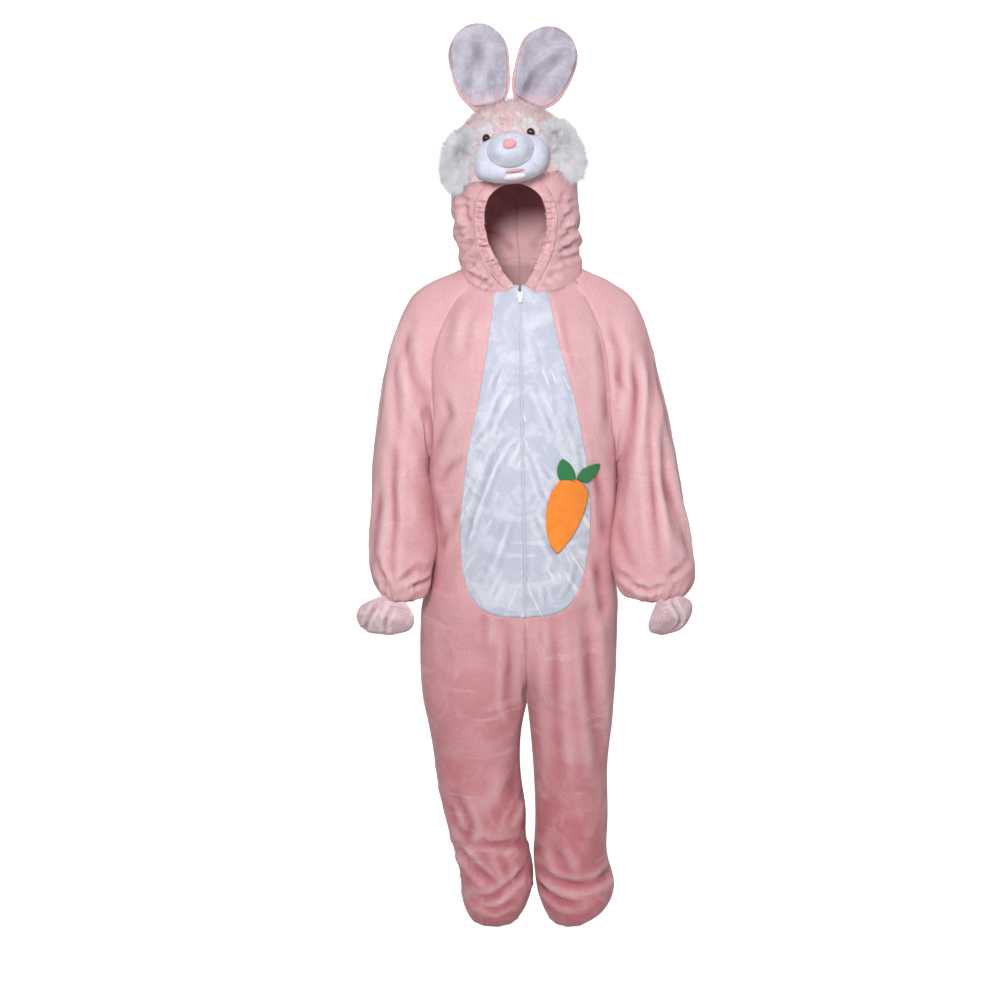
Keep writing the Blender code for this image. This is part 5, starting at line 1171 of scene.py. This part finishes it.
class BUNNY_OT_face(BunnyOperator, bpy.types.Operator):
    """Nose, mouth, chin, brow patches and eyes"""
    bl_idname = "bunny.face"
    bl_label = "Face details"

    def execute(self, context):
        colours = self.colours
        fine = {"patch": 60.0, "crush": 200.0, "along": 150.0, "packed": 0.0}
        # Painted highlight and shade of the small pieces: crown pink paints the brows' shade, crown white
        # and nose pink paint highlights on nose and mouth, and thread pink paints their shade
        pale = plush("brow plush", colours.crown_white, colours.belly_lit, colours.crown_pink, colours.crown_pink,
                     **fine)
        velour = plush("nose velour", colours.nose, colours.crown_white, colours.pink_thread_and_shade, colours.nose, spread=0.2,
                       **fine)
        lip = plush("mouth velour", colours.lip, colours.nose, colours.pink_thread_and_shade, colours.lip, spread=0.2, **fine)
        pad_piece("nose", 2, velour, "velour_pink", 0.8, ripple=0.0002)
        pad_piece("mouth", 2, lip, "velour_pink", 0.5, ripple=0.0001)
        pad_piece("chin", 2, pale, "plush_white", 0.7, ripple=0.0003)
        eye = moulded("eye plastic", colours.eye, 0.12, coat=0.6, scuffs=0.04)
        rim = moulded("eye rim", colours.eye_rim, 0.25, coat=0.5)
        tufts = pile_material("brow pile", colours.crown_white, colours.fur, 60.0)
        for side in SIDES:
            patch = pad_piece("eye_patch_" + side, 2, pale, "plush_white", 0.5, ripple=0.0003)
            mesh = patch.data
            points = points_of(mesh)
            comb_out(mesh, normals_of(mesh) * 0.7 + (points - points.mean(0)) * BROW_FAN, BROW_LENGTH,
                     faces_out(mesh), 0.010, 0.5)
            grow("brow_" + side, patch, tuft(2, 0.085, 0.5), tufts, 900000.0, 17, 0.4)
            node = "eye_" + side
            mesh = finish(softened(node, "dome_" + node, 3), node, rim).data
            mesh.materials.append(eye)
            points = points_of(mesh)
            beside = points - points.mean(0)
            radius = np.hypot(beside[:, 0], beside[:, 2])
            dark = radius < radius.max() * EYE_DARK
            for face in mesh.polygons:
                face.material_index = 1 if all(dark[index] for index in face.vertices) else 0
        return {"FINISHED"}


class BUNNY_OT_ears(BunnyOperator, bpy.types.Operator):
    """Stuffed ears, white inside and pink behind"""
    bl_idname = "bunny.ears"
    bl_label = "Ears"

    def execute(self, context):
        colours = self.colours
        # The inner ear: painted sheen, painted shade in its fold and at grazing angles, and its own pink
        # towards the base
        inside = plush("ear plush", colours.ear, colours.ear_lit, colours.ear_shade, colours.ear_shade, patch=22.0,
                       crush=110.0, along=60.0, spread=0.5, packed=0.0,
                       height_tint_and_light=(0.305, 0.262, 0.6, colours.crown_pink))
        for side in SIDES:
            bent = {"rows": EAR_CREASES[side], "core": behind, "ripple": 0.0010, "seed": 81}
            pad_piece("ear_" + side + "_back", 2, self.pink_plush(), "plush_pink", 0.6, **bent)
            pad_piece("ear_" + side + "_inner", 2, inside, "plush_white", 0.5,
                      widen=self.sizes.ear_cover, **bent)
        return {"FINISHED"}


class BUNNY_OT_paws(BunnyOperator, bpy.types.Operator):
    """Stuffed paw flaps with toe stitching"""
    bl_idname = "bunny.paws"
    bl_label = "Paws"

    def execute(self, context):
        colours = self.colours
        # Crown white is the paws' painted highlight here
        cloth = plush("paw plush", colours.mauve, colours.crown_white, colours.mauve_shade, colours.mauve_shade,
                      patch=26.0, crush=110.0, along=60.0, spread=0.4, packed=0.0)
        for side in SIDES:
            node = "paw_" + side
            low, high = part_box(node)
            centre = np.array((low + high) / 2)
            paw = pad_piece(node, 2, cloth, "plush_mauve", 0.7, ripple=0.0006, seed=91,
                            rows=TOE_LINES[side], core=around(centre))
            points = points_of(paw.data)
            beside = points - centre
            tucked = smooth_share(beside[:, 2], 0.0, 0.030)
            tucked *= np.exp(-((beside[:, 0] - PAW_LEAN[side]) / PAW_TUCK_WIDTH) ** 2)
            place_points(paw.data, points + tucked[:, None] * [0.0, PAW_TUCK, PAW_TUCK_LIFT])
        return {"FINISHED"}


class BUNNY_OT_carrot(BunnyOperator, bpy.types.Operator):
    """Flat felt carrot with two leaves"""
    bl_idname = "bunny.carrot"
    bl_label = "Carrot"

    def execute(self, context):
        sizes, colours = self.sizes, self.colours
        orange, green = felt("orange felt", colours.orange), felt("green felt", colours.green)
        for node, cloth, slot in (("carrot", orange, "felt_orange"),
                                  ("carrot_leaf_left", green, "felt_green"),
                                  ("carrot_leaf_right", green, "felt_green")):
            pad_piece(node, 2, cloth, slot, 0.3, corner=84.0, rows=BELLY_CREASES, core=torso_core,
                      ripple=sizes.ripple * 0.6, puff=sizes.puff, strength=sizes.belly_crush, seed=21)
        return {"FINISHED"}


class BUNNY_OT_zip(BunnyOperator, bpy.types.Operator):
    """Zip tape, coil, slider and pull"""
    bl_idname = "bunny.zip"
    bl_label = "Zip"

    def execute(self, context):
        enamel = moulded("white enamel", self.colours.zip, 0.30, coat=0.3)
        coil = moulded("coil", self.colours.belly, 0.70)
        for node, material in (("zip_slider", enamel), ("zip_pull", enamel), ("zip_tape", coil)):
            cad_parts[node].material_slots[0].material = material
        return {"FINISHED"}


class BUNNY_PT_panel(bpy.types.Panel):
    """Lists the steps that dress the bunny costume"""
    bl_idname = "BUNNY_PT_panel"
    bl_label = "Bunny Costume"
    bl_space_type = "VIEW_3D"
    bl_region_type = "UI"
    bl_category = "Bunny Costume"

    def draw(self, context):
        for step in STEPS:
            self.layout.operator(step.bl_idname)
        for settings in (context.scene.bunny_sizes, context.scene.bunny_colours):
            for name in settings.__annotations__:
                self.layout.prop(settings, name)


STEPS = (BUNNY_OT_stage, BUNNY_OT_suit, BUNNY_OT_belly, BUNNY_OT_sleeves, BUNNY_OT_hood, BUNNY_OT_head,
         BUNNY_OT_cheeks, BUNNY_OT_face, BUNNY_OT_ears, BUNNY_OT_paws, BUNNY_OT_carrot, BUNNY_OT_zip)
CLASSES = (BunnySizes, BunnyColours, *STEPS, BUNNY_PT_panel)


def register():
    for item in CLASSES:
        bpy.utils.register_class(item)
    bpy.types.Scene.bunny_sizes = bpy.props.PointerProperty(type=BunnySizes)
    bpy.types.Scene.bunny_colours = bpy.props.PointerProperty(type=BunnyColours)


def unregister():
    del bpy.types.Scene.bunny_colours
    del bpy.types.Scene.bunny_sizes
    for item in reversed(CLASSES):
        bpy.utils.unregister_class(item)


def main():
    register()
    for step in STEPS:
        group, name = step.bl_idname.split(".")
        getattr(getattr(bpy.ops, group), name)()


if __name__ == "__main__":
    main()
